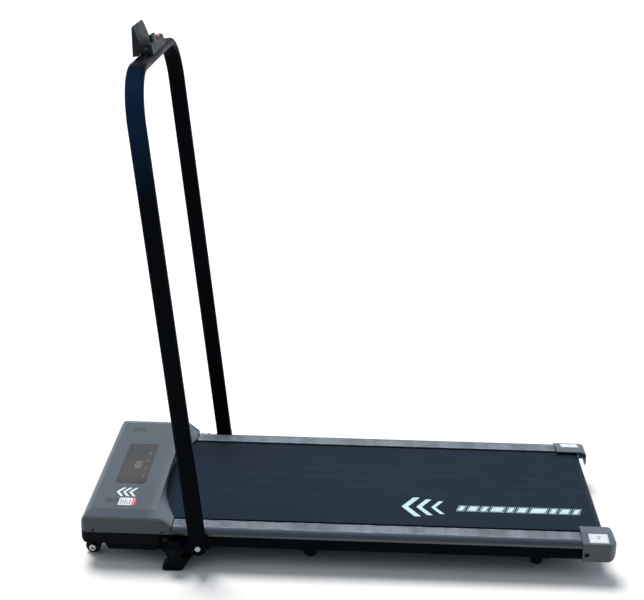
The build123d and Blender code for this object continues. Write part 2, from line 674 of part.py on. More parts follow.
rocker_tilt = 8.0
with BuildPart() as power_switch:
    rocker_plane = Plane(origin=(switch_x, switch_y, socket_z - 5.5), x_dir=(1, 0, 0), z_dir=(0, 0, 1))
    with BuildSketch(rocker_plane.rotated((0, 0, -rocker_tilt))):
        with BuildLine():
            Polyline((-7.6, -7.9), (-6.6, 0), (-7.6, 7.9), (-1, 7.9), (4, 2.5), (4, -2.5), (-1, -7.9),
                     close=True)
        make_face()
    extrude(amount=11)
save(power_switch, "power_switch")

# ---------------------------------------------------------------- pivot brackets and boots
bracket_out_y = frame_outer_y + 5.0
boss_out_y = bracket_out_y + 8.2
lock_plate_y = boss_out_y + 0.2
upright_inner_y = rail_half_span - tube_thick / 2
boot_top_z = 35.0
boot_inner_y, boot_outer_y = 250.0, 277.0

with BuildPart() as pivot_bracket:
    outline_bar(side(frame_outer_y), [
        (-437, 84), (-316, 84), (-312, 66), (-324, 51), (-352, 45), (-364, 32), (-378, 8), (-422, 8),
        (-418, 24), (-432, 42), (-446, 57.5), (-437, 57.5)], bracket_out_y - frame_outer_y)
    fillet(pivot_bracket.edges().filter_by(Axis.Y), 2.5)
    round_bar(side(bracket_out_y), [(pivot_x, pivot_z)], 8.0, boss_out_y - bracket_out_y)
    round_bar(side(frame_outer_y), [(pivot_x, pivot_z), (knob_x, knob_z)], pivot_bolt_hole, 20, Mode.SUBTRACT)
    round_bar(side(frame_outer_y), bracket_screws_at, bracket_screw_radius + 0.1, 20, Mode.SUBTRACT)
save_pair(pivot_bracket, "pivot_bracket")

with BuildPart() as bracket_boot:
    with BuildSketch(side(boot_inner_y)):
        with BuildLine():
            Polyline((-433, 6), (-429, 0), (-392, 0), (-386, 3), (-379, 13), (-369, 30), (-366, boot_top_z),
                     (-420, boot_top_z), (-417, 29), (-421, 22), (-432, 11), close=True)
        make_face()
    extrude(amount=boot_outer_y - boot_inner_y)
    fillet(bracket_boot.edges().filter_by(Axis.Y).group_by(Axis.Z)[0], 2.5)
    outer_face = bracket_boot.faces().sort_by(Axis.Y)[0]
    chamfer(outer_face.edges(), 1.5)
    # pocket for the bracket's leg
    outline_bar(side(frame_outer_y - 0.1), [
        (-351.5, 45.5), (-363.6, 32), (-377.5, 7.8), (-422.5, 7.8), (-418.5, 24), (-432.5, 42.5)],
        bracket_out_y - frame_outer_y + 0.2, Mode.SUBTRACT)
save_pair(bracket_boot, "bracket_boot")

with BuildPart() as bracket_screws:
    round_bar(outer_wall, bracket_screws_at, bracket_screw_radius, drill)
    round_bar(side(bracket_out_y), bracket_screws_at, 5.2, 2.8)
    hex_bar(side(bracket_out_y + 1.2), bracket_screws_at, 2.2, 3, Mode.SUBTRACT)
    mirror(bracket_screws.part, about=Plane.XZ)
save(bracket_screws, "bracket_screws")

upright_outer_y = rail_half_span + tube_thick / 2
with BuildPart() as pivot_bolts:
    pivot = [(pivot_x, pivot_z)]
    head_y = upright_outer_y + 0.2
    shank_y = frame_outer_y - 12
    round_bar(side(shank_y), pivot, pivot_bolt_radius, head_y - shank_y)
    round_bar(side(head_y), pivot, 7.0, 4.2)
    fillet(pivot_bolts.faces().sort_by(Axis.Y)[0].edges(), 2.8)
    hex_bar(side(head_y + 2), pivot, 2.6, 4, Mode.SUBTRACT)
    mirror(pivot_bolts.part, about=Plane.XZ)
save(pivot_bolts, "pivot_bolts")

# ---------------------------------------------------------------- handrail
up = Vector(-math.sin(lean), 0, math.cos(lean))
rearward = Vector(math.cos(lean), 0, math.sin(lean))
socket_height = 22.0


def tube_section(height, broad, thick, corner):
    """A section of the left upright, square to it, at this height above the pivot."""
    origin = Vector(pivot_x, -rail_half_span, pivot_z) + up * height
    with BuildSketch(Plane(origin=origin, x_dir=rearward, z_dir=up)) as section:
        RectangleRounded(broad, thick, corner)
    return section.sketch


def handrail_bar(low, broad, thick, corner):
    """The whole bent bar: two uprights, two bends and the crossbar, starting at height low."""
    bend_start = handrail_height - handrail_bend
    bend_centre = Vector(pivot_x, -rail_half_span + handrail_bend, pivot_z) + up * bend_start
    bend_end = Vector(pivot_x, -rail_half_span + handrail_bend, pivot_z) + up * handrail_height
    with BuildPart() as bar:
        extrude(tube_section(low, broad, thick, corner), amount=bend_start - low)
        revolve(tube_section(bend_start, broad, thick, corner), axis=Axis(bend_centre, -rearward),
                revolution_arc=90)
        mirror(bar.part, about=Plane.XZ)
        with BuildSketch(Plane(origin=bend_end, x_dir=rearward, z_dir=(0, 1, 0))):
            RectangleRounded(broad, thick, corner)
        extrude(amount=2 * (rail_half_span - handrail_bend))
    return bar.part


with BuildPart() as handrail_tube:
    add(handrail_bar(socket_height, tube_broad, tube_thick, 8))
    add(handrail_bar(socket_height - 5, tube_broad - 2 * tube_wall, tube_thick - 2 * tube_wall, 6),
        mode=Mode.SUBTRACT)
save(handrail_tube, "handrail_tube")

# solid foot of each upright: rounded end, spigot inside the tube, hole for the pivot bolt
with BuildPart() as pivot_block:
    foot_plane = Plane(origin=(pivot_x, -upright_inner_y, pivot_z), x_dir=rearward, z_dir=(0, -1, 0))
    with BuildSketch(foot_plane):
        Circle(tube_broad / 2)
        with Locations((0, socket_height / 2)):
            Rectangle(tube_broad, socket_height)
    extrude(amount=tube_thick)
    fillet(pivot_block.faces().filter_by(Axis.Y).edges().filter_by(GeomType.CIRCLE), 2.5)
    spigot_broad, spigot_thick = tube_broad - 2 * tube_wall - 0.2, tube_thick - 2 * tube_wall - 0.2
    extrude(tube_section(socket_height, spigot_broad, spigot_thick, 5.9), amount=40)
    round_bar(side(upright_inner_y - 2), pivot, pivot_bolt_radius + running_fit, 30, Mode.SUBTRACT)
save_pair(pivot_block, "pivot_block")

# hooked plate on each upright that drops over the lock knob's stud
stud_radius = 4.0
stud_reach = math.hypot(knob_x - pivot_x, knob_z - pivot_z)
stud_angle = math.degrees(math.atan2(knob_z - pivot_z, knob_x - pivot_x)) % 360
slot_half = stud_radius + 0.35
with BuildPart() as lock_plate:
    with BuildSketch(side(lock_plate_y)):
        with Locations((pivot_x, pivot_z)):
            Circle(17)
        with Locations((knob_x, knob_z)):
            Circle(12.5)
        make_hull()
    extrude(amount=upright_inner_y - lock_plate_y)
    with BuildSketch(side(lock_plate_y)):
        with Locations((knob_x, knob_z)):
            Circle(slot_half)
        with BuildLine():
            near = stud_reach - slot_half
            far = stud_reach + slot_half
            slot_sweep = 20
            CenterArc((pivot_x, pivot_z), near, stud_angle, slot_sweep)
            CenterArc((pivot_x, pivot_z), far, stud_angle, slot_sweep)
            for angle in (stud_angle, stud_angle + slot_sweep):
                cos_a, sin_a = math.cos(math.radians(angle)), math.sin(math.radians(angle))
                Line((pivot_x + near * cos_a, pivot_z + near * sin_a),
                     (pivot_x + far * cos_a, pivot_z + far * sin_a))
        make_face()
    extrude(amount=10, mode=Mode.SUBTRACT)
    round_bar(side(lock_plate_y - 1), pivot, pivot_bolt_radius + running_fit, 10, Mode.SUBTRACT)
save_pair(lock_plate, "lock_plate")

# lobed clamp knob with its stud
grip_y = upright_inner_y + 0.8
collar_depth, grip_depth, button_depth = 5.0, 15.0, 4.0
lobes, lobe_radius = 6, 6.0
with BuildPart() as lock_knob:
    knob_centre = [(knob_x, knob_z)]
    round_bar(side(frame_outer_y - 6), knob_centre, stud_radius, grip_y - frame_outer_y + 6)
    round_bar(side(grip_y), knob_centre, 12.0, collar_depth)
    with BuildSketch(side(grip_y + collar_depth)):
        with Locations(*knob_centre):
            Circle(knob_radius - lobe_radius + 1)
            with PolarLocations(knob_radius - lobe_radius, lobes):
                Circle(lobe_radius)
    extrude(amount=grip_depth)
    chamfer(lock_knob.faces().sort_by(Axis.Y)[0].edges(), 1.5)
    round_bar(side(grip_y + collar_depth + grip_depth), knob_centre, 14.0, button_depth)
    fillet(lock_knob.faces().sort_by(Axis.Y)[0].edges(), 3)
save_pair(lock_knob, "lock_knob")

# ---------------------------------------------------------------- phone holder on the handrail's crossbar
crossbar = Vector(pivot_x, 0, pivot_z) + up * handrail_height
holder_plane = Plane(origin=crossbar, x_dir=rearward, z_dir=(0, -1, 0))
tube_top = tube_thick / 2
holder_floor = 18.9
rest_half, tray_half = 62.5, 82.0
rest_back = -tube_broad / 2 - 0.6       # the rest stands this far behind the crossbar's middle
rest_corner, rest_top = 11.0, 73.0
bar_top = tube_top + 0.1                # the holder sits this far above the crossbar's middle
key_y, key_x, key_width, key_depth = 30.0, -11.0, 24.0, 5.0

with BuildPart() as phone_rest:
    outline_bar(holder_plane.offset(-rest_half), [
        (-32.5, 6), (-26.5, 71), (-25, rest_top), (-22.6, 72), (-8.2, holder_floor), (-8.2, bar_top),
        (rest_back, bar_top), (rest_back, 6)], 2 * rest_half)
    outline_bar(holder_plane.offset(-rest_half + 3), [
        (-29.2, 0), (-24.6, 62), (-12.5, 17), (-12.5, tube_top + 3), (-23, tube_top + 3), (-23, 0)],
        2 * rest_half - 6, Mode.SUBTRACT)
    # rounded upper corners, seen from the walker's side
    with BuildSketch(Plane(origin=crossbar, x_dir=(0, 1, 0), z_dir=rearward)):
        with BuildLine():
            shoulder = rest_top - rest_corner
            Polyline((rest_half - rest_corner, rest_top), (-rest_half + rest_corner, rest_top))
            TangentArc((-rest_half + rest_corner, rest_top), (-rest_half, shoulder), tangent=(-1, 0))
            Polyline((-rest_half, shoulder), (-rest_half, 0), (rest_half, 0), (rest_half, shoulder))
            TangentArc((rest_half, shoulder), (rest_half - rest_corner, rest_top), tangent=(0, 1))
        make_face()
    extrude(amount=60, both=True, mode=Mode.INTERSECT)
save(phone_rest, "phone_rest")

with BuildPart() as phone_tray:
    outline_bar(holder_plane.offset(-rest_half), [
        (-8.0, bar_top), (17.3, bar_top), (17.0, holder_floor), (-8.0, holder_floor)], 2 * rest_half)
    outline_bar(holder_plane.offset(-tray_half), [
        (5.0, bar_top), (18.4, bar_top), (16.4, 29.9), (13.5, 33.5), (8, 35.5), (5.8, 34.0)], 2 * tray_half)
    # raised block to the left of the middle
    raised = [(5.8, 30), (15.6, 30), (13.6, 47.0), (12, 48.4), (7.4, 48.4), (6.4, 47)]
    outline_bar(holder_plane.offset(5), raised, 37)
    # pocket for the safety key
    with BuildSketch(Plane(origin=crossbar + up * 22, x_dir=(0, 1, 0), z_dir=up)):
        with Locations((key_y, key_x)):
            Rectangle(key_width + 0.6, key_depth + 0.6)
    extrude(amount=30, mode=Mode.SUBTRACT)
save(phone_tray, "phone_tray")

with BuildPart() as safety_key:
    key_low, key_body, key_cap = 22.2, 13.6, 3.0
    body_plane = Plane(origin=crossbar + up * key_low, x_dir=(0, 1, 0), z_dir=up)
    plate(body_plane, [(key_y, key_x)], key_width, key_depth, 1, key_body)
    plate(body_plane.offset(key_body), [(key_y, key_x)], key_width + 5, key_depth + 4, 2, key_cap)
save(safety_key, "safety_key")

# ---------------------------------------------------------------- transport wheels
fork_plate = 3.0
wheel_bolt_radius = 4.0
wheel_centre = [(wheel_x, wheel_radius)]
dish_outer, dish_inner, dish_depth = 13.0, 8.0, 3.0
with BuildPart() as wheel_fork:
    fork_gap = wheel_width / 2 + 1.5
    for start in (wheel_y - fork_gap - fork_plate, wheel_y + fork_gap):
        with BuildSketch(side(start)):
            with Locations((wheel_x, wheel_radius)):
                Circle(9)
            with BuildLine():
                Polyline((wheel_x - 8.9, wheel_radius), (wheel_x + 9, wheel_radius),
                         (wheel_x + 20, frame_low_z - fork_plate), (wheel_x + 20, frame_low_z),
                         (wheel_x - 1, frame_low_z), close=True)
            make_face()
        extrude(amount=fork_plate)
    with BuildSketch(Plane.XY.offset(frame_low_z - fork_plate)):
        with Locations((wheel_x + 16, -(wheel_y - fork_gap - fork_plate + 248) / 2)):
            Rectangle(26, 248 - wheel_y + fork_gap + fork_plate)
    extrude(amount=fork_plate)
    round_bar(side(wheel_y - 30), wheel_centre, wheel_bolt_radius + bolt_clearance, 60, Mode.SUBTRACT)
save_pair(wheel_fork, "wheel_fork")

with BuildPart() as wheel_bolts:
    inner_end = wheel_y - fork_gap - fork_plate - 7
    head_start = wheel_y + fork_gap + fork_plate
    round_bar(side(inner_end), wheel_centre, wheel_bolt_radius, head_start - inner_end)
    hex_bar(side(inner_end), wheel_centre, 7.2, 6.8)
    round_bar(side(head_start), wheel_centre, 8.2, 5)
    fillet(wheel_bolts.faces().sort_by(Axis.Y)[0].edges(), 1.2)
    hex_bar(side(head_start + 1), wheel_centre, 4.4, 6, Mode.SUBTRACT)
    mirror(wheel_bolts.part, about=Plane.XZ)
save(wheel_bolts, "wheel_bolts")

with BuildPart() as transport_wheel:
    round_bar(side(wheel_y - wheel_width / 2), wheel_centre, wheel_radius, wheel_width)
    fillet(transport_wheel.edges().filter_by(GeomType.CIRCLE), 2.5)
    # dished on both faces round the hub
    for start in (wheel_y - wheel_width / 2, wheel_y + wheel_width / 2 - dish_depth):
        with BuildSketch(side(start)):
            with Locations(*wheel_centre):
                Circle(dish_outer)
                Circle(dish_inner, mode=Mode.SUBTRACT)
        extrude(amount=dish_depth, mode=Mode.SUBTRACT)
    round_bar(side(wheel_y - 30), wheel_centre, wheel_bolt_radius + 0.08, 60, Mode.SUBTRACT)
save_pair(transport_wheel, "transport_wheel")

# ---------------------------------------------------------------- feet
with BuildPart() as foot_plates:
    plate_inner, plate_outer = foot_y - 17, frame_outer_y - 5
    plate_spots = [(x, -(plate_inner + plate_outer) / 2) for x in (mid_foot_x, rear_foot_x)]
    plate(Plane.XY.offset(frame_low_z - foot_plate), plate_spots, 40, plate_outer - plate_inner, 4,
          foot_plate)
    mirror(foot_plates.part, about=Plane.XZ)
save(foot_plates, "foot_plates")

foot_sole, foot_neck, foot_bowl = 7.0, 9.0, 11.0
for x, name in ((mid_foot_x, "mid_foot"), (rear_foot_x, "rear_foot")):
    with BuildPart() as foot:
        with BuildSketch(Plane(origin=(x, -foot_y, 0), x_dir=(1, 0, 0), z_dir=(0, -1, 0))):
            with BuildLine():
                Line((0, 0), (foot_sole, 0))
                TangentArc((foot_sole, 0), (foot_radius, foot_bowl), tangent=(1, 0))
                Polyline((foot_radius, foot_bowl), (foot_radius, foot_bowl + 6), (foot_neck, foot_bowl + 10),
                         (foot_neck, frame_low_z - foot_plate), (0, frame_low_z - foot_plate), (0, 0))
            make_face()
        revolve(axis=Axis((x, -foot_y, 0), (0, 0, 1)))
    save_pair(foot, name)

# ---------------------------------------------------------------- hood screws
with BuildPart() as hood_screws:
    round_bar(side(hood_half), hood_screw_spots, 2.8, 1.1)
    round_bar(side(hood_half - hood_wall - 3), hood_screw_spots, hood_screw_radius, hood_wall + 3)
    cross_recess(side(hood_half + 0.5), hood_screw_spots, 3.4, 0.8)
    mirror(hood_screws.part, about=Plane.XZ)
save(hood_screws, "hood_screws")
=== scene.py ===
import math

import bmesh
import bpy
from mathutils import Matrix, Vector


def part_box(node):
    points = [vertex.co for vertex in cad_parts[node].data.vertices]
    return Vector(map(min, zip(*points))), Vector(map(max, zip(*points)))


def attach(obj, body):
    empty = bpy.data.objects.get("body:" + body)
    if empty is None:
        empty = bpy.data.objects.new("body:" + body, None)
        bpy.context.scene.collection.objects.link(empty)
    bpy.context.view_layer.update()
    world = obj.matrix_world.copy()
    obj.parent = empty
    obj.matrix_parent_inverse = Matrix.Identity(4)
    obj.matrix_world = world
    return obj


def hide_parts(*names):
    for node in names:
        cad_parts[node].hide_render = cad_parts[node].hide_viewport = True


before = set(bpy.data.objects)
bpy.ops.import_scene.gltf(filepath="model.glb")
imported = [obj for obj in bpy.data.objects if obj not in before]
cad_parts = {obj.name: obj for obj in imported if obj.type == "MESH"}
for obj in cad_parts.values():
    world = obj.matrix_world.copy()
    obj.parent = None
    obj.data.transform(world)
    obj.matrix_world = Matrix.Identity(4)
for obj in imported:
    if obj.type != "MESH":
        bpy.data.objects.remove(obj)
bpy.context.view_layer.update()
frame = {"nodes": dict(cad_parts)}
nodes = frame["nodes"]
mm = 0.001
print("frame loaded:", len(nodes), "parts")


# shader helpers

class Wire:
    # an output socket that can stand in a sum or a product
    def __init__(self, nodes, socket):
        self.nodes = nodes
        self.socket = socket

    def maths(self, operation, first, second=0.0):
        return self.nodes.node("ShaderNodeMath", {"operation": operation}, {0: first, 1: second})

    def __add__(self, other):
        return self.maths("ADD", self, other)

    def __radd__(self, other):
        return self.maths("ADD", other, self)

    def __sub__(self, other):
        return self.maths("SUBTRACT", self, other)

    def __rsub__(self, other):
        return self.maths("SUBTRACT", other, self)

    def __mul__(self, other):
        return self.maths("MULTIPLY", self, other)

    def __rmul__(self, other):
        return self.maths("MULTIPLY", other, self)

    def sine(self):
        return self.maths("SINE", self)

    def size(self):
        return self.maths("ABSOLUTE", self)


class NodeMaker:
    # adds nodes to one tree: settings first, then socket values and links
    def __init__(self, tree):
        self.tree = tree

    def node(self, kind, settings, sockets, out=0):
        made = self.tree.nodes.new(kind)
        for key, value in settings.items():
            if key == "stops":
                fillRamp(made.color_ramp, value)
            else:
                setattr(made, key, value)
        for key, value in sockets.items():
            self.feed(made.inputs[key], value)
        return Wire(self, made.outputs[out])

    def feed(self, socket, value):
        if isinstance(value, Wire):
            self.tree.links.new(value.socket, socket)
        else:
            socket.default_value = value


socketNames = {"rough": "Roughness", "metal": "Metallic", "gloss": "Specular IOR Level",
               "coat": "Coat Weight", "coatRough": "Coat Roughness"}


class Surface(NodeMaker):
    # one material, its Principled shader and the nodes that feed it
    def __init__(self, name, colour, **fixed):
        self.material = bpy.data.materials.new(name)
        self.material.use_nodes = True
        super().__init__(self.material.node_tree)
        self.shader = self.tree.nodes["Principled BSDF"]
        self.colour = hexColour(colour)
        self.material.diffuse_color = self.colour
        self.set("Base Color", self.colour)
        for word, value in fixed.items():
            self.set(socketNames[word], value)

    def set(self, name, value):
        self.feed(self.shader.inputs[name], value)

    def place(self, stretch=(1, 1, 1)):
        spot = self.node("ShaderNodeTexCoord", {}, {}, "Object")
        return self.node("ShaderNodeVectorMath", {"operation": "MULTIPLY"}, {0: spot, 1: stretch})

    def along(self, axis):
        return self.node("ShaderNodeSeparateXYZ", {}, {0: self.place()}, axis)

    def noise(self, grain, detail=2.0, stretch=(1, 1, 1)):
        # grain is the size of one blotch in metres
        return self.node("ShaderNodeTexNoise", {}, {"Vector": self.place(stretch), "Scale": 1 / grain,
                                                    "Detail": detail, "Roughness": 0.5})

    def cells(self, grain, feature="F1"):
        sockets = {"Vector": self.place(), "Scale": 1 / grain}
        return self.node("ShaderNodeTexVoronoi", {"feature": feature}, sockets)

    def span(self, value, low, high, toLow=0.0, toHigh=1.0):
        return self.node("ShaderNodeMapRange", {}, {"Value": value, "From Min": low, "From Max": high,
                                                    "To Min": toLow, "To Max": toHigh})

    def mix(self, mask, colourA, colourB):
        return self.node("ShaderNodeMix", {"data_type": "RGBA"}, {0: mask, 6: colourA, 7: colourB}, 2)

    def rounded(self, radius):
        return self.node("ShaderNodeBevel", {"samples": 4}, {"Radius": radius})

    def edges(self, radius, low=0.02, high=0.25):
        # 1 along the corners of a part, 0 on its faces
        flat = self.node("ShaderNodeNewGeometry", {}, {}, "Normal")
        same = self.node("ShaderNodeVectorMath", {"operation": "DOT_PRODUCT"},
                         {0: self.rounded(radius), 1: flat}, "Value")
        return self.span(1 - same, low, high)

    def relief(self, height, depth, soft=0.0006):
        # bumps of this depth in metres, on corners rounded by soft
        self.set("Normal", self.node("ShaderNodeBump", {}, {"Height": height, "Distance": depth,
                                                            "Strength": 1.0, "Normal": self.rounded(soft)}))


def hexColour(code):
    parts = [int(code[i:i + 2], 16) / 255 for i in (1, 3, 5)]
    linear = [p / 12.92 if p <= 0.04045 else ((p + 0.055) / 1.055) ** 2.4 for p in parts]
    return (*linear, 1.0)


def fillRamp(ramp, stops):
    while len(ramp.elements) < len(stops):
        ramp.elements.new(0.5)
    for element, (position, colour) in zip(ramp.elements, stops):
        element.position = position
        element.color = colour


# finishes

# shade is the base colour of the painted shade on the side walls of the hood and end caps
mouldedGrey = {"hood": "#454b51", "cap": "#4f585f", "shade": "#2b3035", "grain": 0.9 * mm,
               "grainDepth": 0.03 * mm}

# painted shade and light in the base colour: darker on the lower side walls, paler on the arch round the belt
hoodPaintedLightAndShade = {"arch": "#5b646a", "archFrom": -0.475, "archTo": -0.435, "wallInner": 0.244, "wallOuter": 0.256,
            "wallLow": 0.120, "wallHigh": 0.128}


def hoodPlastic():
    s = Surface("hoodPlastic", mouldedGrey["hood"], gloss=0.42)
    handled = s.span(s.noise(0.16, 4), 0.35, 0.7)
    dust = s.span(s.noise(0.004, 5), 0.58, 0.75) * s.span(s.noise(0.09, 2), 0.4, 0.65)
    rubbed = s.edges(1.6 * mm) * s.span(s.noise(0.012, 3), 0.35, 0.6)
    body = s.mix(handled * 0.5, s.colour, hexColour("#4d5359"))
    # painted light: the arch round the belt takes a paler base colour
    arch = s.span(s.along("X"), hoodPaintedLightAndShade["archFrom"], hoodPaintedLightAndShade["archTo"])
    body = s.mix(arch, body, hexColour(hoodPaintedLightAndShade["arch"]))
    # painted shade: the lower side walls take the darker base colour
    paintedWallShade = s.span(s.along("Y").size(), hoodPaintedLightAndShade["wallInner"], hoodPaintedLightAndShade["wallOuter"]) \
        * s.span(s.along("Z"), hoodPaintedLightAndShade["wallLow"], hoodPaintedLightAndShade["wallHigh"], 1, 0)
    body = s.mix(paintedWallShade, body, hexColour(mouldedGrey["shade"]))
    body = s.mix(dust * 0.18, body, hexColour("#767b80"))
    s.set("Base Color", s.mix(rubbed * 0.4, body, hexColour("#7d8389")))
    s.set("Roughness", 0.40 + handled * 0.10 + dust * 0.15)
    s.relief(s.noise(mouldedGrey["grain"], 2), mouldedGrey["grainDepth"], 1.2 * mm)
    return s.material


capPaintedShade = {"wallInner": 0.258, "wallOuter": 0.266}    # painted shade: the side walls take the darker base colour here


def capPlastic():
    s = Surface("capPlastic", mouldedGrey["cap"], gloss=0.4)
    scuffs = s.span(s.noise(0.006, 6, (0.25, 1, 1)), 0.6, 0.72) * s.span(s.noise(0.03, 2), 0.45, 0.6)
    rubbed = s.edges(1.8 * mm) * s.span(s.noise(0.01, 3), 0.35, 0.6)
    body = s.mix(s.span(s.noise(0.05, 3), 0.3, 0.7) * 0.4, s.colour, hexColour("#59626a"))
    # painted shade: the side walls take the darker base colour
    paintedWallShade = s.span(s.along("Y").size(), capPaintedShade["wallInner"], capPaintedShade["wallOuter"])
    body = s.mix(paintedWallShade, body, hexColour(mouldedGrey["shade"]))
    body = s.mix(scuffs * 0.3, body, hexColour("#70757a"))
    s.set("Base Color", s.mix(rubbed * 0.4, body, hexColour("#7c8287")))
    s.set("Roughness", 0.44 + scuffs * 0.2)
    s.relief(s.noise(mouldedGrey["grain"], 2), mouldedGrey["grainDepth"], 1.4 * mm)
    return s.material


# slope is the base colour of the painted shade on the rail's outer slope and of the dark lines in the painted
# reflection on the tread
railLook = {"colour": "#485057", "worn": "#5f666d", "ribPitch": 3.0 * mm, "ribDepth": 0.12 * mm,
            "ribInner": 0.2135, "ribOuter": 0.2395, "slope": "#1e2327", "slopeFrom": 0.241, "slopeTo": 0.256,
            "seamPitch": 33 * mm, "seamCore": 0.03, "seamEdge": 0.09}


def railPlastic():
    s = Surface("railPlastic", railLook["colour"], gloss=0.55, coat=0.25, coatRough=0.2)
    across = s.along("Y").size()
    ribs = (s.along("Y") * (2 * math.pi / railLook["ribPitch"])).sine()
    onTop = s.span(across, railLook["ribInner"], railLook["ribInner"] + mm) \
        * s.span(across, railLook["ribOuter"], railLook["ribOuter"] + mm, 1, 0)
    drawn = s.noise(0.0016, 3, (0.02, 1, 1))     # faint lines left by the extrusion die
    tread = s.span(s.noise(0.05, 4, (0.35, 1, 1)), 0.45, 0.65) * onTop
    body = s.mix(s.span(drawn, 0.35, 0.65) * 0.35, s.colour, hexColour(railLook["worn"]))
    body = s.mix(tread * 0.2, body, hexColour("#858b91"))
    # painted reflection along the tread: paler stretches, with a dark line between them at a fixed pitch
    wave = (s.along("X") * (math.pi / railLook["seamPitch"])).sine().size()
    paintedReflectionDark = s.span(wave, railLook["seamCore"], railLook["seamEdge"], 1, 0) * onTop
    paintedReflectionPale = s.span(s.noise(0.07, 1, (1, 0.05, 0.05)), 0.4, 0.55) * onTop
    body = s.mix(paintedReflectionPale * 0.55, body, hexColour("#767e85"))
    body = s.mix(paintedReflectionDark * 0.5, body, hexColour(railLook["slope"]))
    # painted shade: the outer slope takes a darker base colour
    outward = s.span(across, railLook["slopeFrom"], railLook["slopeTo"])
    body = s.mix(outward, body, hexColour(railLook["slope"]))
    # painted highlight: paler along every edge
    s.set("Base Color", s.mix(s.edges(mm) * 0.3, body, hexColour("#8e959b")))
    s.set("Roughness", 0.27 + tread * 0.16 + drawn * 0.06)
    s.relief(ribs * onTop + drawn * 0.3, railLook["ribDepth"], 0.7 * mm)
    return s.material


# the pale base colour is a painted highlight line; the bright and dark stretches along it are a painted
# reflection
def beadPaintedHighlight():
    s = Surface("railBead", "#868d94", gloss=0.6, coat=0.5, coatRough=0.12)
    paintedReflectionDashes = s.span(s.noise(0.03, 2, (1, 0.01, 0.01)), 0.42, 0.62)
    s.set("Base Color", s.mix(paintedReflectionDashes, hexColour("#737a81"), hexColour("#b4bbc1")))
    s.set("Roughness", 0.34 - paintedReflectionDashes * 0.16)
    return s.material


beltLook = {"ridge": "#1a2835", "groove": "#0d161e", "worn": "#202d38", "pitch": 4.6 * mm, "slant": 0.32,
            "depth": 0.35 * mm, "walkHalfWidth": 0.15}


def diamonds(s):
    # two sets of slanting ridges that cross in long diamonds
    turns = 2 * math.pi / beltLook["pitch"]
    along, across = s.along("X"), s.along("Y")
    one = ((along + across * beltLook["slant"]) * turns).sine()
    two = ((along - across * beltLook["slant"]) * turns).sine()
    return s.span(one * 0.6 + two * 0.4, -1, 1)


def beltFabric():
    s = Surface("beltFabric", beltLook["ridge"], gloss=0.15)
    ridges = diamonds(s)
    threads = s.noise(0.0007, 2)
    walked = s.span(s.along("Y").size(), beltLook["walkHalfWidth"] * 0.5, beltLook["walkHalfWidth"], 1, 0)
    scuffs = s.span(s.noise(0.02, 5, (0.18, 1, 1)), 0.5, 0.72) * walked
    lint = s.span(s.cells(0.022), 0.0, 0.035, 1, 0)
    body = s.mix(ridges, hexColour(beltLook["groove"]), s.colour)
    body = s.mix(s.span(s.noise(0.25, 2), 0.3, 0.7) * 0.25, body, hexColour("#101a25"))
    body = s.mix(scuffs * 0.35, body, hexColour(beltLook["worn"]))
    s.set("Base Color", s.mix(lint * 0.3, body, hexColour("#59626b")))
    s.set("Roughness", 0.52 + threads * 0.2 - scuffs * 0.06)
    s.relief(ridges + threads * 0.35, beltLook["depth"], 0.5 * mm)
    return s.material


def printInk(name, colour):
    # screen-printed ink that follows the belt's diamonds and has cracked a little
    s = Surface(name, colour, gloss=0.3)
    cracks = s.span(s.cells(0.0035, "DISTANCE_TO_EDGE"), 0.0, 0.05, 1, 0) \
        * s.span(s.noise(0.03, 2), 0.45, 0.6)
    thin = s.span(s.noise(0.008, 4), 0.5, 0.75)
    body = s.mix(thin * 0.25, s.colour, hexColour("#a9bcc2"))
    s.set("Base Color", s.mix(cracks * 0.6, body, hexColour("#54616b")))
    s.set("Roughness", 0.45 + thin * 0.15)
    s.relief(diamonds(s), 0.2 * mm, 0.2 * mm)
    return s.material


# a bluer base colour on the outer faces of the handrail's bends: a painted sky reflection
bendPaintedReflection = {"colour": "#0d2138", "from": 0.90, "to": 1.09, "inward": 0.03, "outward": 0.18}


def powderCoat(name, colour, chipColour, peel, gloss):
    # baked powder: fine orange peel, paler where corners are rubbed
    s = Surface(name, colour, gloss=gloss)
    peelBumps = s.noise(peel, 2)
    haze = s.span(s.noise(0.12, 3), 0.35, 0.7)
    rubbed = s.edges(mm) * s.span(s.noise(0.009, 4), 0.5, 0.62)
    body = s.mix(haze * 0.4, s.colour, hexColour("#06090d"))
    # the painted reflection shows on the outer faces only, where the face and the tube lie on the same side
    facing = s.node("ShaderNodeSeparateXYZ", {}, {0: s.node("ShaderNodeNewGeometry", {}, {}, "Normal")}, "Y")
    outward = s.span(facing * s.along("Y"), bendPaintedReflection["inward"], bendPaintedReflection["outward"])
    paintedBendReflection = s.span(s.along("Z"), bendPaintedReflection["from"], bendPaintedReflection["to"]) * outward
    body = s.mix(paintedBendReflection, body, hexColour(bendPaintedReflection["colour"]))
    s.set("Base Color", s.mix(rubbed * 0.5, body, hexColour(chipColour)))
    s.set("Roughness", 0.33 + haze * 0.12)
    s.relief(peelBumps, 0.035 * mm, 0.8 * mm)
    return s.material


def blackPlastic():
    s = Surface("blackPlastic", "#02060a", gloss=0.05)
    dust = s.span(s.noise(0.003, 5), 0.6, 0.78) * s.span(s.noise(0.05, 2), 0.42, 0.62)
    rubbed = s.edges(1.2 * mm) * s.span(s.noise(0.008, 3), 0.4, 0.62)
    body = s.mix(dust * 0.12, s.colour, hexColour("#2c2f32"))
    s.set("Base Color", s.mix(rubbed * 0.35, body, hexColour("#191c1e")))
    s.set("Roughness", 0.5 + dust * 0.2)
    s.relief(s.noise(0.8 * mm, 2), 0.05 * mm, 0.9 * mm)
    return s.material


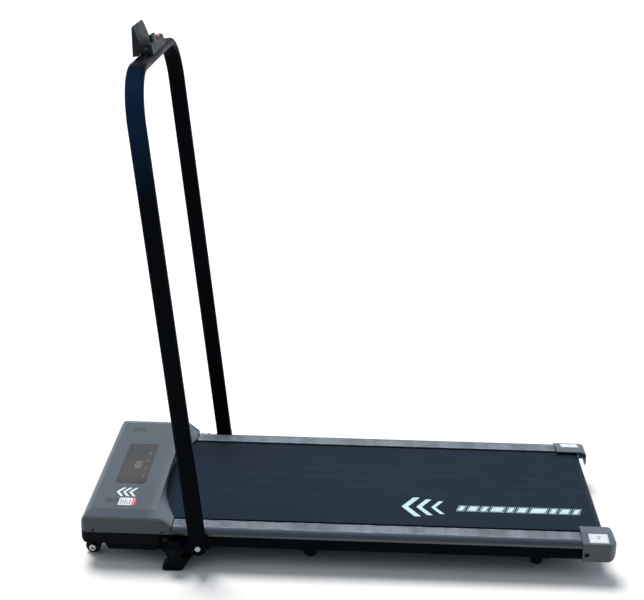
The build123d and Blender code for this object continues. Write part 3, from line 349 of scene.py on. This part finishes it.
def holderPlastic():
    s = Surface("holderPlastic", "#1b2023", gloss=0.2)
    handled = s.span(s.noise(0.03, 3), 0.4, 0.65)
    rubbed = s.edges(1.2 * mm) * s.span(s.noise(0.006, 3), 0.35, 0.6)
    body = s.mix(handled * 0.4, s.colour, hexColour("#22282b"))
    s.set("Base Color", s.mix(rubbed * 0.5, body, hexColour("#363d41")))
    s.set("Roughness", 0.55 - handled * 0.12)
    s.relief(s.noise(0.7 * mm, 2), 0.04 * mm, 1.0 * mm)
    return s.material


def moulded(name, colour, dustColour, rough):
    s = Surface(name, colour, gloss=0.3)
    dust = s.span(s.noise(0.006, 5), 0.5, 0.75)
    s.set("Base Color", s.mix(dust * 0.3, s.colour, hexColour(dustColour)))
    s.set("Roughness", rough + dust * 0.12)
    s.relief(s.noise(0.0012, 3), 0.06 * mm, 0.8 * mm)
    return s.material


def blackOxide():
    s = Surface("blackOxideSteel", "#08090a", metal=0.6, gloss=0.3)
    oily = s.span(s.noise(0.003, 3), 0.4, 0.65)
    s.set("Base Color", s.mix(s.edges(0.5 * mm) * 0.5, s.colour, hexColour("#2a2c2e")))
    s.set("Roughness", 0.42 - oily * 0.12)
    s.relief(s.noise(0.0005, 2, (1, 0.2, 1)), 0.02 * mm, 0.4 * mm)
    return s.material


def zincSteel():
    s = Surface("zincSteel", "#b9bbbd", metal=1.0)
    passivated = s.span(s.noise(0.005, 4), 0.35, 0.7)
    turned = s.noise(0.0004, 2, (1, 0.15, 1))
    s.set("Base Color", s.mix(passivated * 0.6, s.colour, hexColour("#8e9196")))
    s.set("Roughness", 0.22 + passivated * 0.14 + turned * 0.1)
    s.relief(turned, 0.02 * mm, 0.5 * mm)
    return s.material


deckLook = {"laminate": "#0a0b0c", "core": "#7b5d3d", "laminateThickness": 1.2 * mm}


def deckBoard():
    # wood fibre core with a black laminate on its upper face
    s = Surface("deckBoard", deckLook["core"], gloss=0.3)
    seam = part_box("deck_board")[1][2] - deckLook["laminateThickness"]
    laminate = s.span(s.along("Z"), seam, seam + 0.1 * mm)
    fibres = s.noise(0.0018, 6, (0.2, 1, 4))
    core = s.mix(s.span(fibres, 0.3, 0.7), s.colour, hexColour("#9c7c56"))
    s.set("Base Color", s.mix(laminate, core, hexColour(deckLook["laminate"])))
    s.set("Roughness", 0.75 - laminate * 0.4)
    s.relief(fibres, 0.15 * mm, 0.5 * mm)
    return s.material


windowLook = {"colour": "#2a261e", "smear": "#373229", "tint": "#100f0d"}


def smokedWindow():
    s = Surface("smokedWindow", windowLook["colour"], gloss=0.45, coat=0.3, coatRough=0.04)
    smears = s.span(s.noise(0.05, 4, (1, 0.5, 1)), 0.4, 0.7)
    depths = s.span(s.noise(0.09, 1), 0.35, 0.65)
    body = s.mix(depths, hexColour(windowLook["tint"]), s.colour)
    s.set("Base Color", s.mix(smears * 0.6, body, hexColour(windowLook["smear"])))
    s.set("Roughness", 0.14 + smears * 0.16)
    s.relief(s.noise(0.02, 1), 0.02 * mm, 0.4 * mm)
    return s.material


def circuitBoard():
    s = Surface("circuitBoard", "#14442b", rough=0.4)
    tracks = s.span(s.cells(0.004, "DISTANCE_TO_EDGE"), 0.02, 0.08, 1, 0)
    s.set("Base Color", s.mix(tracks * 0.6, s.colour, hexColour("#2f7a4c")))
    s.relief(tracks, 0.04 * mm, 0.3 * mm)
    return s.material


def glossyRed():
    s = Surface("redPlastic", "#9c2420", gloss=0.35, coat=0.15)
    worn = s.edges(mm) * s.span(s.noise(0.005, 3), 0.4, 0.6)
    shade = s.mix(s.span(s.noise(0.01, 3), 0.3, 0.7) * 0.4, s.colour, hexColour("#7b1815"))
    s.set("Base Color", s.mix(worn * 0.5, shade, hexColour("#b5544d")))
    s.set("Roughness", 0.3 + worn * 0.2)
    s.relief(s.noise(0.0009, 2), 0.02 * mm)
    return s.material


def labelPaper(name, colour):
    # coated sticker film with faint yellowing and scratches
    s = Surface(name, colour, gloss=0.4)
    scratches = s.span(s.noise(0.0012, 3, (0.1, 1, 1)), 0.62, 0.7)
    s.set("Base Color", s.mix(scratches * 0.25 + s.span(s.noise(0.02, 3), 0.4, 0.7) * 0.1, s.colour,
                              hexColour("#9a9a92")))
    s.set("Roughness", 0.32 + scratches * 0.2)
    s.relief(s.noise(0.004, 2), 0.02 * mm, 0.15 * mm)
    return s.material


def unlitDigit():
    s = Surface("unlitDigit", "#85785a", gloss=0.5, coat=1.0, coatRough=0.05)
    fade = s.span(s.noise(0.006, 2), 0.3, 0.7)
    s.set("Base Color", s.mix(fade, s.colour, hexColour("#675c45")))
    s.set("Roughness", 0.2 + fade * 0.15)
    return s.material


finishes = {
    "hood": hoodPlastic(),
    "cap": capPlastic(),
    "rail": railPlastic(),
    "bead": beadPaintedHighlight(),
    "belt": beltFabric(),
    "frameCoat": powderCoat("frameCoat", "#02070a", "#14181a", 1.3 * mm, 0.02),
    "railCoat": powderCoat("handrailCoat", "#02050a", "#141c26", 1.0 * mm, 0.02),
    "black": blackPlastic(),
    "holder": holderPlastic(),
    "rubber": moulded("blackRubber", "#060606", "#201f1e", 0.66),
    "nylon": moulded("pulleyNylon", "#16171a", "#3a3c40", 0.4),
    "motorPaint": moulded("motorPaint", "#4c4e52", "#6d7075", 0.38),
    "zinc": zincSteel(),
    "blackOxide": blackOxide(),
    "deck": deckBoard(),
    "window": smokedWindow(),
    "board": circuitBoard(),
    "red": glossyRed(),
    "ink": printInk("beltInk", "#a9c2c6"),
    "inkThin": printInk("beltInkThin", "#8ba3a9"),
    "label": labelPaper("labelFilm", "#c2c9ca"),
    "labelGrey": labelPaper("labelPrint", "#6a7076"),
    "labelRed": labelPaper("labelBand", "#c8434a"),
    "digit": unlitDigit(),
    "indicator": labelPaper("indicatorPrint", "#a9a9a1"),
}


def pair(name):
    return [name + "_left", name + "_right"]


wearing = {
    "hood": ["motor_hood"],
    "cap": pair("rear_endcap"),
    "rail": pair("foot_rail"),
    "belt": ["walking_belt"],
    "frameCoat": pair("side_frame") + pair("pivot_bracket") + pair("wheel_fork")
    + ["front_cross_tube", "cross_members", "foot_plates", "motor_mount"],
    "railCoat": ["handrail_tube"] + pair("pivot_block") + pair("lock_plate"),
    "black": ["front_pan", "belly_pan", "power_inlet", "switch_frame"] + pair("lock_knob")
    + pair("bracket_boot"),
    "holder": ["phone_rest", "phone_tray"],
    "rubber": ["deck_cushions", "drive_belt"] + pair("mid_foot") + pair("rear_foot")
    + pair("transport_wheel"),
    "nylon": ["roller_pulley"],
    "motorPaint": ["drive_motor", "motor_pulley"],
    "blackOxide": ["deck_screws", "endcap_screws", "hood_screws", "bracket_screws"],
    "zinc": ["roller_axles", "tension_bolts", "pivot_bolts", "wheel_bolts", "front_roller", "rear_roller",
             "front_roller_bearings", "rear_roller_bearings"],
    "deck": ["deck_board"],
    "window": ["display_window"],
    "board": ["display_board", "control_board"],
    "red": ["safety_key", "power_switch"],
}
for finish, members in wearing.items():
    for name in members:
        part = nodes[name]
        if not part.material_slots:
            part.data.materials.append(None)
        for materialSlot in part.material_slots:
            materialSlot.material = finishes[finish]
bare = sorted(set(nodes) - {name for members in wearing.values() for name in members})
print("finishes on:", len(nodes) - len(bare), "parts, bare:", bare)


# mesh helpers

def buildPiece(name, mesh, finish, body, smooth=True):
    bmesh.ops.remove_doubles(mesh, verts=mesh.verts, dist=1e-7)
    bmesh.ops.recalc_face_normals(mesh, faces=mesh.faces)
    data = bpy.data.meshes.new(name)
    mesh.to_mesh(data)
    mesh.free()
    piece = bpy.data.objects.new(name, data)
    bpy.context.scene.collection.objects.link(piece)
    data.materials.append(finishes[finish])
    if smooth:
        for face in data.polygons:
            face.use_smooth = True
        data.set_sharp_from_angle(angle=math.radians(40))
    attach(piece, body)
    return piece


def addPrism(mesh, place, outline, low, high):
    # a closed plate with this outline, from low to high along the place's Z
    count = len(outline)
    rows = [[mesh.verts.new(place @ Vector((x, y, z))) for x, y in outline] for z in (low, high)]
    mesh.faces.new(reversed(rows[0]))
    mesh.faces.new(rows[1])
    for i in range(count):
        j = (i + 1) % count
        mesh.faces.new((rows[0][i], rows[0][j], rows[1][j], rows[1][i]))


def addFrame(mesh, place, outer, inner, low, high):
    # the same, but open inside the inner outline
    count = len(outer)
    rows = [[mesh.verts.new(place @ Vector((x, y, z))) for x, y in outline]
            for z in (low, high) for outline in (outer, inner)]
    lowOuter, lowInner, highOuter, highInner = rows
    for i in range(count):
        j = (i + 1) % count
        mesh.faces.new((highOuter[i], highOuter[j], highInner[j], highInner[i]))
        mesh.faces.new((lowInner[i], lowInner[j], lowOuter[j], lowOuter[i]))
        mesh.faces.new((lowOuter[i], lowOuter[j], highOuter[j], highOuter[i]))
        mesh.faces.new((highInner[i], highInner[j], lowInner[j], lowInner[i]))


def closeTube(mesh, rings):
    # skins a row of rings and caps both ends
    for near, far in zip(rings, rings[1:]):
        count = len(near)
        for i in range(count):
            j = (i + 1) % count
            mesh.faces.new((near[i], near[j], far[j], far[i]))
    mesh.faces.new(reversed(rings[0]))
    mesh.faces.new(rings[-1])


def roundedBox(width, height, corner, centre=(0, 0), steps=5):
    points = []
    for turn, (sx, sy) in enumerate(((1, 1), (-1, 1), (-1, -1), (1, -1))):
        for k in range(steps + 1):
            angle = math.radians(90 * (turn + k / steps))
            points.append((centre[0] + sx * (width / 2 - corner) + corner * math.cos(angle),
                           centre[1] + sy * (height / 2 - corner) + corner * math.sin(angle)))
    return points


def slanted(centre, width, height, lean, grow=0.0):
    # a leaning bar: its top is shifted sideways by lean
    x, y = centre
    w, h = width / 2 + grow, height / 2 + grow
    return [(x - w - lean / 2, y - h), (x + w - lean / 2, y - h),
            (x + w + lean / 2, y + h), (x - w + lean / 2, y + h)]


def chevron(tip, reach, half, thick):
    # an arrow head that points along -X
    x, y = tip
    return [(x, y), (x + reach, y + half), (x + reach + thick, y + half), (x + thick, y),
            (x + reach + thick, y - half), (x + reach, y - half)]


def topOf(node):
    return Matrix.Translation((0, 0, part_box(node)[1][2]))


# printed marks on the belt: three chevrons and a row of leaning bars

beltPrint = {"thickness": 0.12 * mm, "chevronTips": (0.130, 0.166, 0.202), "chevronReach": 0.030,
             "chevronHalf": 0.046, "chevronThick": 0.016, "chevronY": -0.112, "chevronShrink": 0.16,
             "barsFrom": 0.270, "barsTo": 0.560, "barY": -0.1125, "barHeight": 0.021, "barLean": 0.009,
             "barWidths": (12, 20, 12, 28, 12, 20, 36, 12, 20, 12), "outline": 1.6 * mm,
             "outlineGap": 2.2 * mm}


def printOnBelt():
    flat = topOf("walking_belt")
    marks = bmesh.new()
    for number, tip in enumerate(beltPrint["chevronTips"]):
        size = 1 - beltPrint["chevronShrink"] * number
        addPrism(marks, flat, chevron((tip, beltPrint["chevronY"]), beltPrint["chevronReach"] * size,
                                      beltPrint["chevronHalf"] * size, beltPrint["chevronThick"] * size),
                 0, beltPrint["thickness"])
    outlines = bmesh.new()
    widths = [width * mm for width in beltPrint["barWidths"]]
    gap = (beltPrint["barsTo"] - beltPrint["barsFrom"] - sum(widths)) / (len(widths) - 1)
    x = beltPrint["barsFrom"]
    for width in widths:
        bar = ((x + width / 2, beltPrint["barY"]), width, beltPrint["barHeight"], beltPrint["barLean"])
        addPrism(marks, flat, slanted(*bar), 0, beltPrint["thickness"])
        reach = beltPrint["outlineGap"]
        addFrame(outlines, flat, slanted(*bar, reach + beltPrint["outline"]), slanted(*bar, reach),
                 0, beltPrint["thickness"])
        x += width + gap
    buildPiece("belt_print_marks", marks, "ink", "base", smooth=False)
    buildPiece("belt_print_outlines", outlines, "inkThin", "base", smooth=False)


printOnBelt()
print("belt print done")


# hood: arrow mark, sticker, display digits and indicator marks

hoodMark = {"thickness": 0.15 * mm, "tips": (-0.560, -0.545, -0.530), "reach": 0.013, "half": 0.021,
            "thick": 0.007, "y": -0.150}
sticker = {"fromX": -0.546, "toX": -0.506, "y": -0.1965, "width": 35 * mm, "band": 8 * mm, "corner": 1.5 * mm,
           "thickness": 0.2 * mm, "ink": 0.05 * mm, "lineLengths": (26, 20, 24, 14, 22),
           "lineWidth": 2.4 * mm, "lineCorner": 0.5 * mm, "lineFrom": 5 * mm, "linePitch": 5.4 * mm,
           "lineMargin": 4 * mm, "dashes": 5, "dashPitch": 6 * mm, "dashWidth": 1.6 * mm,
           "dashLength": 3.4 * mm, "dashCorner": 0.4 * mm}


def markHood():
    flat = topOf("motor_hood")
    marks = bmesh.new()
    for tip in hoodMark["tips"]:
        arrow = chevron((tip, hoodMark["y"]), hoodMark["reach"], hoodMark["half"], hoodMark["thick"])
        addPrism(marks, flat, arrow, 0, hoodMark["thickness"])
    buildPiece("hood_arrow_mark", marks, "label", "base", smooth=False)

    length = sticker["toX"] - sticker["fromX"]
    paper = length - sticker["band"]
    middle = sticker["fromX"] + paper / 2
    film = bmesh.new()
    addPrism(film, flat, roundedBox(paper, sticker["width"], sticker["corner"], (middle, sticker["y"])),
             0, sticker["thickness"])
    buildPiece("hood_sticker", film, "label", "base", smooth=False)
    band = bmesh.new()
    bandAt = (sticker["toX"] - sticker["band"] / 2, sticker["y"])
    addPrism(band, flat, roundedBox(sticker["band"], sticker["width"], sticker["corner"], bandAt),
             0, sticker["thickness"])
    buildPiece("hood_sticker_band", band, "labelRed", "base", smooth=False)
    lines = bmesh.new()
    inkTop = sticker["thickness"] + sticker["ink"]
    start = sticker["y"] - sticker["width"] / 2 + sticker["lineMargin"]
    for row, lineLength in enumerate(sticker["lineLengths"]):
        span = lineLength * mm
        spot = (sticker["fromX"] + sticker["lineFrom"] + row * sticker["linePitch"], start + span / 2)
        addPrism(lines, flat, roundedBox(sticker["lineWidth"], span, sticker["lineCorner"], spot, 2),
                 sticker["thickness"], inkTop)
    buildPiece("hood_sticker_lines", lines, "labelGrey", "base", smooth=False)
    dashes = bmesh.new()
    for k in range(sticker["dashes"]):
        spot = (bandAt[0], bandAt[1] + (k - (sticker["dashes"] - 1) / 2) * sticker["dashPitch"])
        dash = roundedBox(sticker["dashWidth"], sticker["dashLength"], sticker["dashCorner"], spot, 2)
        addPrism(dashes, flat, dash, sticker["thickness"], inkTop)
    buildPiece("hood_sticker_dashes", dashes, "label", "base", smooth=False)


markHood()

display = {"digits": 3, "digitY": -0.0085, "digitX": -0.5328, "pitch": 14 * mm, "long": 17 * mm,
           "wide": 10 * mm, "segment": 1.8 * mm, "segmentCorner": 0.6 * mm, "proud": 0.08 * mm,
           "indicators": 4, "indicatorPitch": 41.5 * mm, "indicatorX": -0.5114, "indicatorY": -0.0050,
           "indicatorSize": 2.8 * mm}


def segmentBars(x, y):
    # seven bars of one digit whose top points to -X
    long, wide, seg = display["long"], display["wide"], display["segment"]
    half = long / 4 - seg * 0.2
    bars = []
    for level in (-1, 0, 1):
        bars.append(((x + level * (long - seg) / 2, y), (seg, wide - 1.6 * seg)))
    for up in (-1, 1):
        for sideways in (-1, 1):
            spot = (x + up * (long - seg) / 4, y + sideways * (wide - seg) / 2)
            bars.append((spot, (2 * half - seg * 0.5, seg)))
    return bars


def fillDisplay():
    flat = topOf("display_window")
    digits = bmesh.new()
    for k in range(display["digits"]):
        y = display["digitY"] + (k - (display["digits"] - 1) / 2) * display["pitch"]
        for spot, (length, width) in segmentBars(display["digitX"], y):
            addPrism(digits, flat, roundedBox(length, width, display["segmentCorner"], spot, 2),
                     0, display["proud"])
    buildPiece("display_digits", digits, "digit", "base", smooth=False)
    marks = bmesh.new()
    for k in range(display["indicators"]):
        y = display["indicatorY"] + (k - (display["indicators"] - 1) / 2) * display["indicatorPitch"]
        size = display["indicatorSize"]
        dot = roundedBox(size, size, size * 0.49, (display["indicatorX"], y), 6)
        addPrism(marks, flat, dot, 0, display["proud"])
    buildPiece("display_indicators", marks, "indicator", "base", smooth=False)


fillDisplay()
print("hood marks and display done")


# rear end cap labels, in the shallow seats on the sloping faces

capLabel = {"length": 44.6 * mm, "width": 31.6 * mm, "corner": 1.6 * mm, "thickness": 0.42 * mm,
            "fromRear": 42.0 * mm, "ridgeY": 0.219, "creaseY": 0.262, "creaseDrop": 8.5 * mm,
            "seatDepth": 0.5 * mm, "ink": 0.05 * mm, "ringRadius": 3.4 * mm, "ringHole": 0.55,
            "ringSteps": 24, "barLength": 13 * mm, "barWidth": 1.6 * mm, "barCorner": 0.5 * mm,
            "barUp": 6.5 * mm, "borderInset": 2.0 * mm, "borderLine": 0.5 * mm, "borderCorner": 1.2 * mm,
            "borderInnerCorner": 0.8 * mm}


def capBorder(inset, corner):
    return roundedBox(capLabel["length"] - 2 * inset, capLabel["width"] - 2 * inset, corner)


def labelCaps():
    for side, sign in (("left", -1), ("right", 1)):
        low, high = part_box("rear_endcap_" + side)
        slope = math.atan2(capLabel["creaseDrop"], capLabel["creaseY"] - capLabel["ridgeY"])
        middleY = sign * (capLabel["ridgeY"] + capLabel["creaseY"]) / 2
        middle = Vector((high[0] - capLabel["fromRear"], middleY, high[2] - capLabel["creaseDrop"] / 2))
        seat = Matrix.Translation(middle) @ Matrix.Rotation(-sign * slope, 4, "X")
        seat = seat @ Matrix.Translation((0, 0, -capLabel["seatDepth"]))
        film = bmesh.new()
        addPrism(film, seat, roundedBox(capLabel["length"], capLabel["width"], capLabel["corner"]),
                 0, capLabel["thickness"])
        buildPiece("cap_label_" + side, film, "label", "base", smooth=False)
        marks = bmesh.new()
        paperTop = capLabel["thickness"]
        inkTop = paperTop + capLabel["ink"]
        # a ring with a bar over it, and a thin border
        turns = [2 * math.pi * step / capLabel["ringSteps"] for step in range(capLabel["ringSteps"])]
        radius = capLabel["ringRadius"]
        ring = [(radius * math.cos(turn), radius * math.sin(turn)) for turn in turns]
        hole = [(x * capLabel["ringHole"], y * capLabel["ringHole"]) for x, y in ring]
        addFrame(marks, seat, ring, hole, paperTop, inkTop)
        bar = roundedBox(capLabel["barLength"], capLabel["barWidth"], capLabel["barCorner"],
                         (0, capLabel["barUp"]), 2)
        addPrism(marks, seat, bar, paperTop, inkTop)
        addFrame(marks, seat, capBorder(capLabel["borderInset"], capLabel["borderCorner"]),
                 capBorder(capLabel["borderInset"] + capLabel["borderLine"], capLabel["borderInnerCorner"]),
                 paperTop, inkTop)
        buildPiece("cap_label_print_" + side, marks, "labelGrey", "base", smooth=False)


labelCaps()
print("end cap labels done")


# foot rails: a pale bead along each edge of the tread, carrying a painted highlight line

railBead = {"innerInset": 1.6 * mm, "grooveInset": 31.3 * mm, "radius": 0.9 * mm, "rise": 0.1 * mm,
            "sides": 10, "stations": 40, "endInset": 1.0 * mm}


def beadRails():
    for side, sign in (("left", -1), ("right", 1)):
        low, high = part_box("foot_rail_" + side)
        innerY = min(abs(low[1]), abs(high[1]))
        startX = low[0] + railBead["endInset"]
        length = high[0] - low[0] - 2 * railBead["endInset"]
        radius = railBead["radius"]
        turns = [2 * math.pi * i / railBead["sides"] for i in range(railBead["sides"])]
        beads = bmesh.new()
        for inset in (railBead["innerInset"], railBead["grooveInset"]):
            y = sign * (innerY + inset)
            z = high[2] - radius / 2 + railBead["rise"]
            rings = []
            for k in range(railBead["stations"] + 1):
                x = startX + length * k / railBead["stations"]
                rings.append([beads.verts.new((x, y + radius * math.cos(turn), z + radius * math.sin(turn)))
                              for turn in turns])
            closeTube(beads, rings)
        buildPiece("rail_beads_" + side, beads, "bead", "base")


beadRails()
print("rail beads done")


# lock knobs: six soft lobes, a waist at the collar and a domed cap

knob = {"lobes": 6, "lobeDepth": 3.4 * mm, "lobeSharpness": 0.7, "segments": 144, "studRadius": 4.0 * mm,
        "studChamfer": 0.4 * mm, "collarRadius": 12 * mm, "collarChamfer": 0.6 * mm, "collar": 5.0 * mm,
        "reach": 24 * mm, "gripDepth": 15.0 * mm, "capRadius": 14.0 * mm, "clearance": 0.1 * mm}


def knobProfile(inner, outer, body):
    # distance out from the frame, radius, share of lobe
    stud, collar, cap = knob["studRadius"], knob["collarRadius"], knob["capRadius"]
    back = outer - knob["reach"]
    grip = back + knob["collar"]
    face = grip + knob["gripDepth"]
    return [(inner, stud - knob["studChamfer"], 0), (inner + knob["studChamfer"], stud, 0),
            (back, stud, 0), (back, collar - knob["collarChamfer"], 0),
            (back + knob["collarChamfer"], collar, 0), (grip, collar, 0),
            (grip + 0.2 * mm, body * 0.88, 0.6), (grip + 1.6 * mm, body * 0.97, 0.92),
            (grip + 3.5 * mm, body, 1), (face - 3.5 * mm, body, 1),
            (face - 1.4 * mm, body * 0.97, 0.92), (face, body * 0.88, 0.7),
            (face + 0.2 * mm, cap + 1.2 * mm, 0.1), (face, cap, 0),
            (outer - 2.4 * mm, cap - 0.2 * mm, 0), (outer - 1.1 * mm, cap - 1.4 * mm, 0),
            (outer - 0.3 * mm, cap - 4 * mm, 0), (outer, cap - 8 * mm, 0)]


def turnKnobs():
    for side, sign in (("left", -1), ("right", 1)):
        low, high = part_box("lock_knob_" + side)
        centreX, centreZ = (low[0] + high[0]) / 2, (low[2] + high[2]) / 2
        outer = max(abs(low[1]), abs(high[1]))
        inner = min(abs(low[1]), abs(high[1]))
        body = (high[2] - low[2]) / 2 - knob["clearance"] - knob["lobeDepth"]
        mesh = bmesh.new()
        rings = []
        for y, radius, share in knobProfile(inner, outer, body):
            ring = []
            for i in range(knob["segments"]):
                angle = 2 * math.pi * i / knob["segments"]
                wave = 0.5 + 0.5 * math.cos(knob["lobes"] * angle)
                lobe = 2 * wave ** knob["lobeSharpness"] - 1
                reach = radius + share * knob["lobeDepth"] * lobe
                ring.append(mesh.verts.new((centreX + reach * math.cos(angle), sign * y,
                                            centreZ + reach * math.sin(angle))))
            rings.append(ring)
        closeTube(mesh, rings)
        piece = buildPiece("clamp_knob_" + side, mesh, "black", "lock_knob_" + side)
        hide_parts("lock_knob_" + side)


turnKnobs()
print("lock knobs done")


# studio: floor, sky glow, soft overhead light and the camera

studio = {"floorHalf": 40.0, "floor": "#dedddb", "sunEnergy": 4.2, "sunAngle": 30, "sunTilt": (-20, -12, 0),
          "sunColour": (1.0, 0.965, 0.92), "skyStrength": 1.0, "skyTilt": (0.0, 0.225, 0.45),
          "sky": ((0.25, "#3a3f46"), (0.45, "#5f7187"), (0.68, "#c3cdd8"), (0.86, "#e6ebef"),
                  (0.97, "#7591bd"))}


def layFloor():
    data = bpy.data.meshes.new("studio_floor")
    half = studio["floorHalf"]
    corners = [(-half, -half, 0), (half, -half, 0), (half, half, 0), (-half, half, 0)]
    data.from_pydata(corners, [], [(0, 1, 2, 3)])
    floor = bpy.data.objects.new("studio_floor", data)
    bpy.context.scene.collection.objects.link(floor)
    s = Surface("studioFloor", studio["floor"], rough=0.9, gloss=0.1)
    s.set("Base Color", s.mix(s.noise(1.5, 2) * 0.15, s.colour, hexColour("#c2c3c4")))
    data.materials.append(s.material)


def lightStudio():
    world = bpy.data.worlds.new("studioGlow")
    world.use_nodes = True
    bpy.context.scene.world = world
    sky = NodeMaker(world.node_tree)
    direction = sky.node("ShaderNodeTexCoord", {}, {}, "Generated")
    height = sky.node("ShaderNodeVectorMath", {"operation": "DOT_PRODUCT"},
                      {0: direction, 1: studio["skyTilt"]}, "Value")
    stops = [(place, hexColour(colour)) for place, colour in studio["sky"]]
    glow = sky.node("ShaderNodeValToRGB", {"stops": stops}, {0: height + 0.5})
    background = world.node_tree.nodes["Background"]
    sky.feed(background.inputs["Color"], glow)
    sky.feed(background.inputs["Strength"], studio["skyStrength"])
    sun = bpy.data.lights.new("overheadSoftLight", "SUN")
    sun.energy = studio["sunEnergy"]
    sun.color = studio["sunColour"]
    sun.angle = math.radians(studio["sunAngle"])
    lamp = bpy.data.objects.new("overheadSoftLight", sun)
    lamp.rotation_euler = [math.radians(turn) for turn in studio["sunTilt"]]
    lamp.visible_glossy = False      # shine comes from the sky glow alone
    bpy.context.scene.collection.objects.link(lamp)


cameraLook = {"place": (0.0224, -2.8699, 1.6314), "turn": 2.126, "down": 18.352, "roll": 0.802, "lens": 70.97,
              "shift": (0.0050, -0.0562)}


def placeCamera():
    data = bpy.data.cameras.new("mainCamera")
    data.lens = cameraLook["lens"]
    data.sensor_width = 36
    data.shift_x, data.shift_y = cameraLook["shift"]
    data.clip_end = 200
    camera = bpy.data.objects.new("mainCamera", data)
    bpy.context.scene.collection.objects.link(camera)
    turn, down, roll = [math.radians(cameraLook[key]) for key in ("turn", "down", "roll")]
    camera.matrix_world = Matrix.Translation(cameraLook["place"]) @ Matrix.Rotation(turn, 4, "Z") \
        @ Matrix.Rotation(math.pi / 2 - down, 4, "X") @ Matrix.Rotation(roll, 4, "Z")
    bpy.context.scene.camera = camera


layFloor()
lightStudio()
placeCamera()
bpy.context.scene.view_settings.view_transform = "Standard"
print("studio ready")
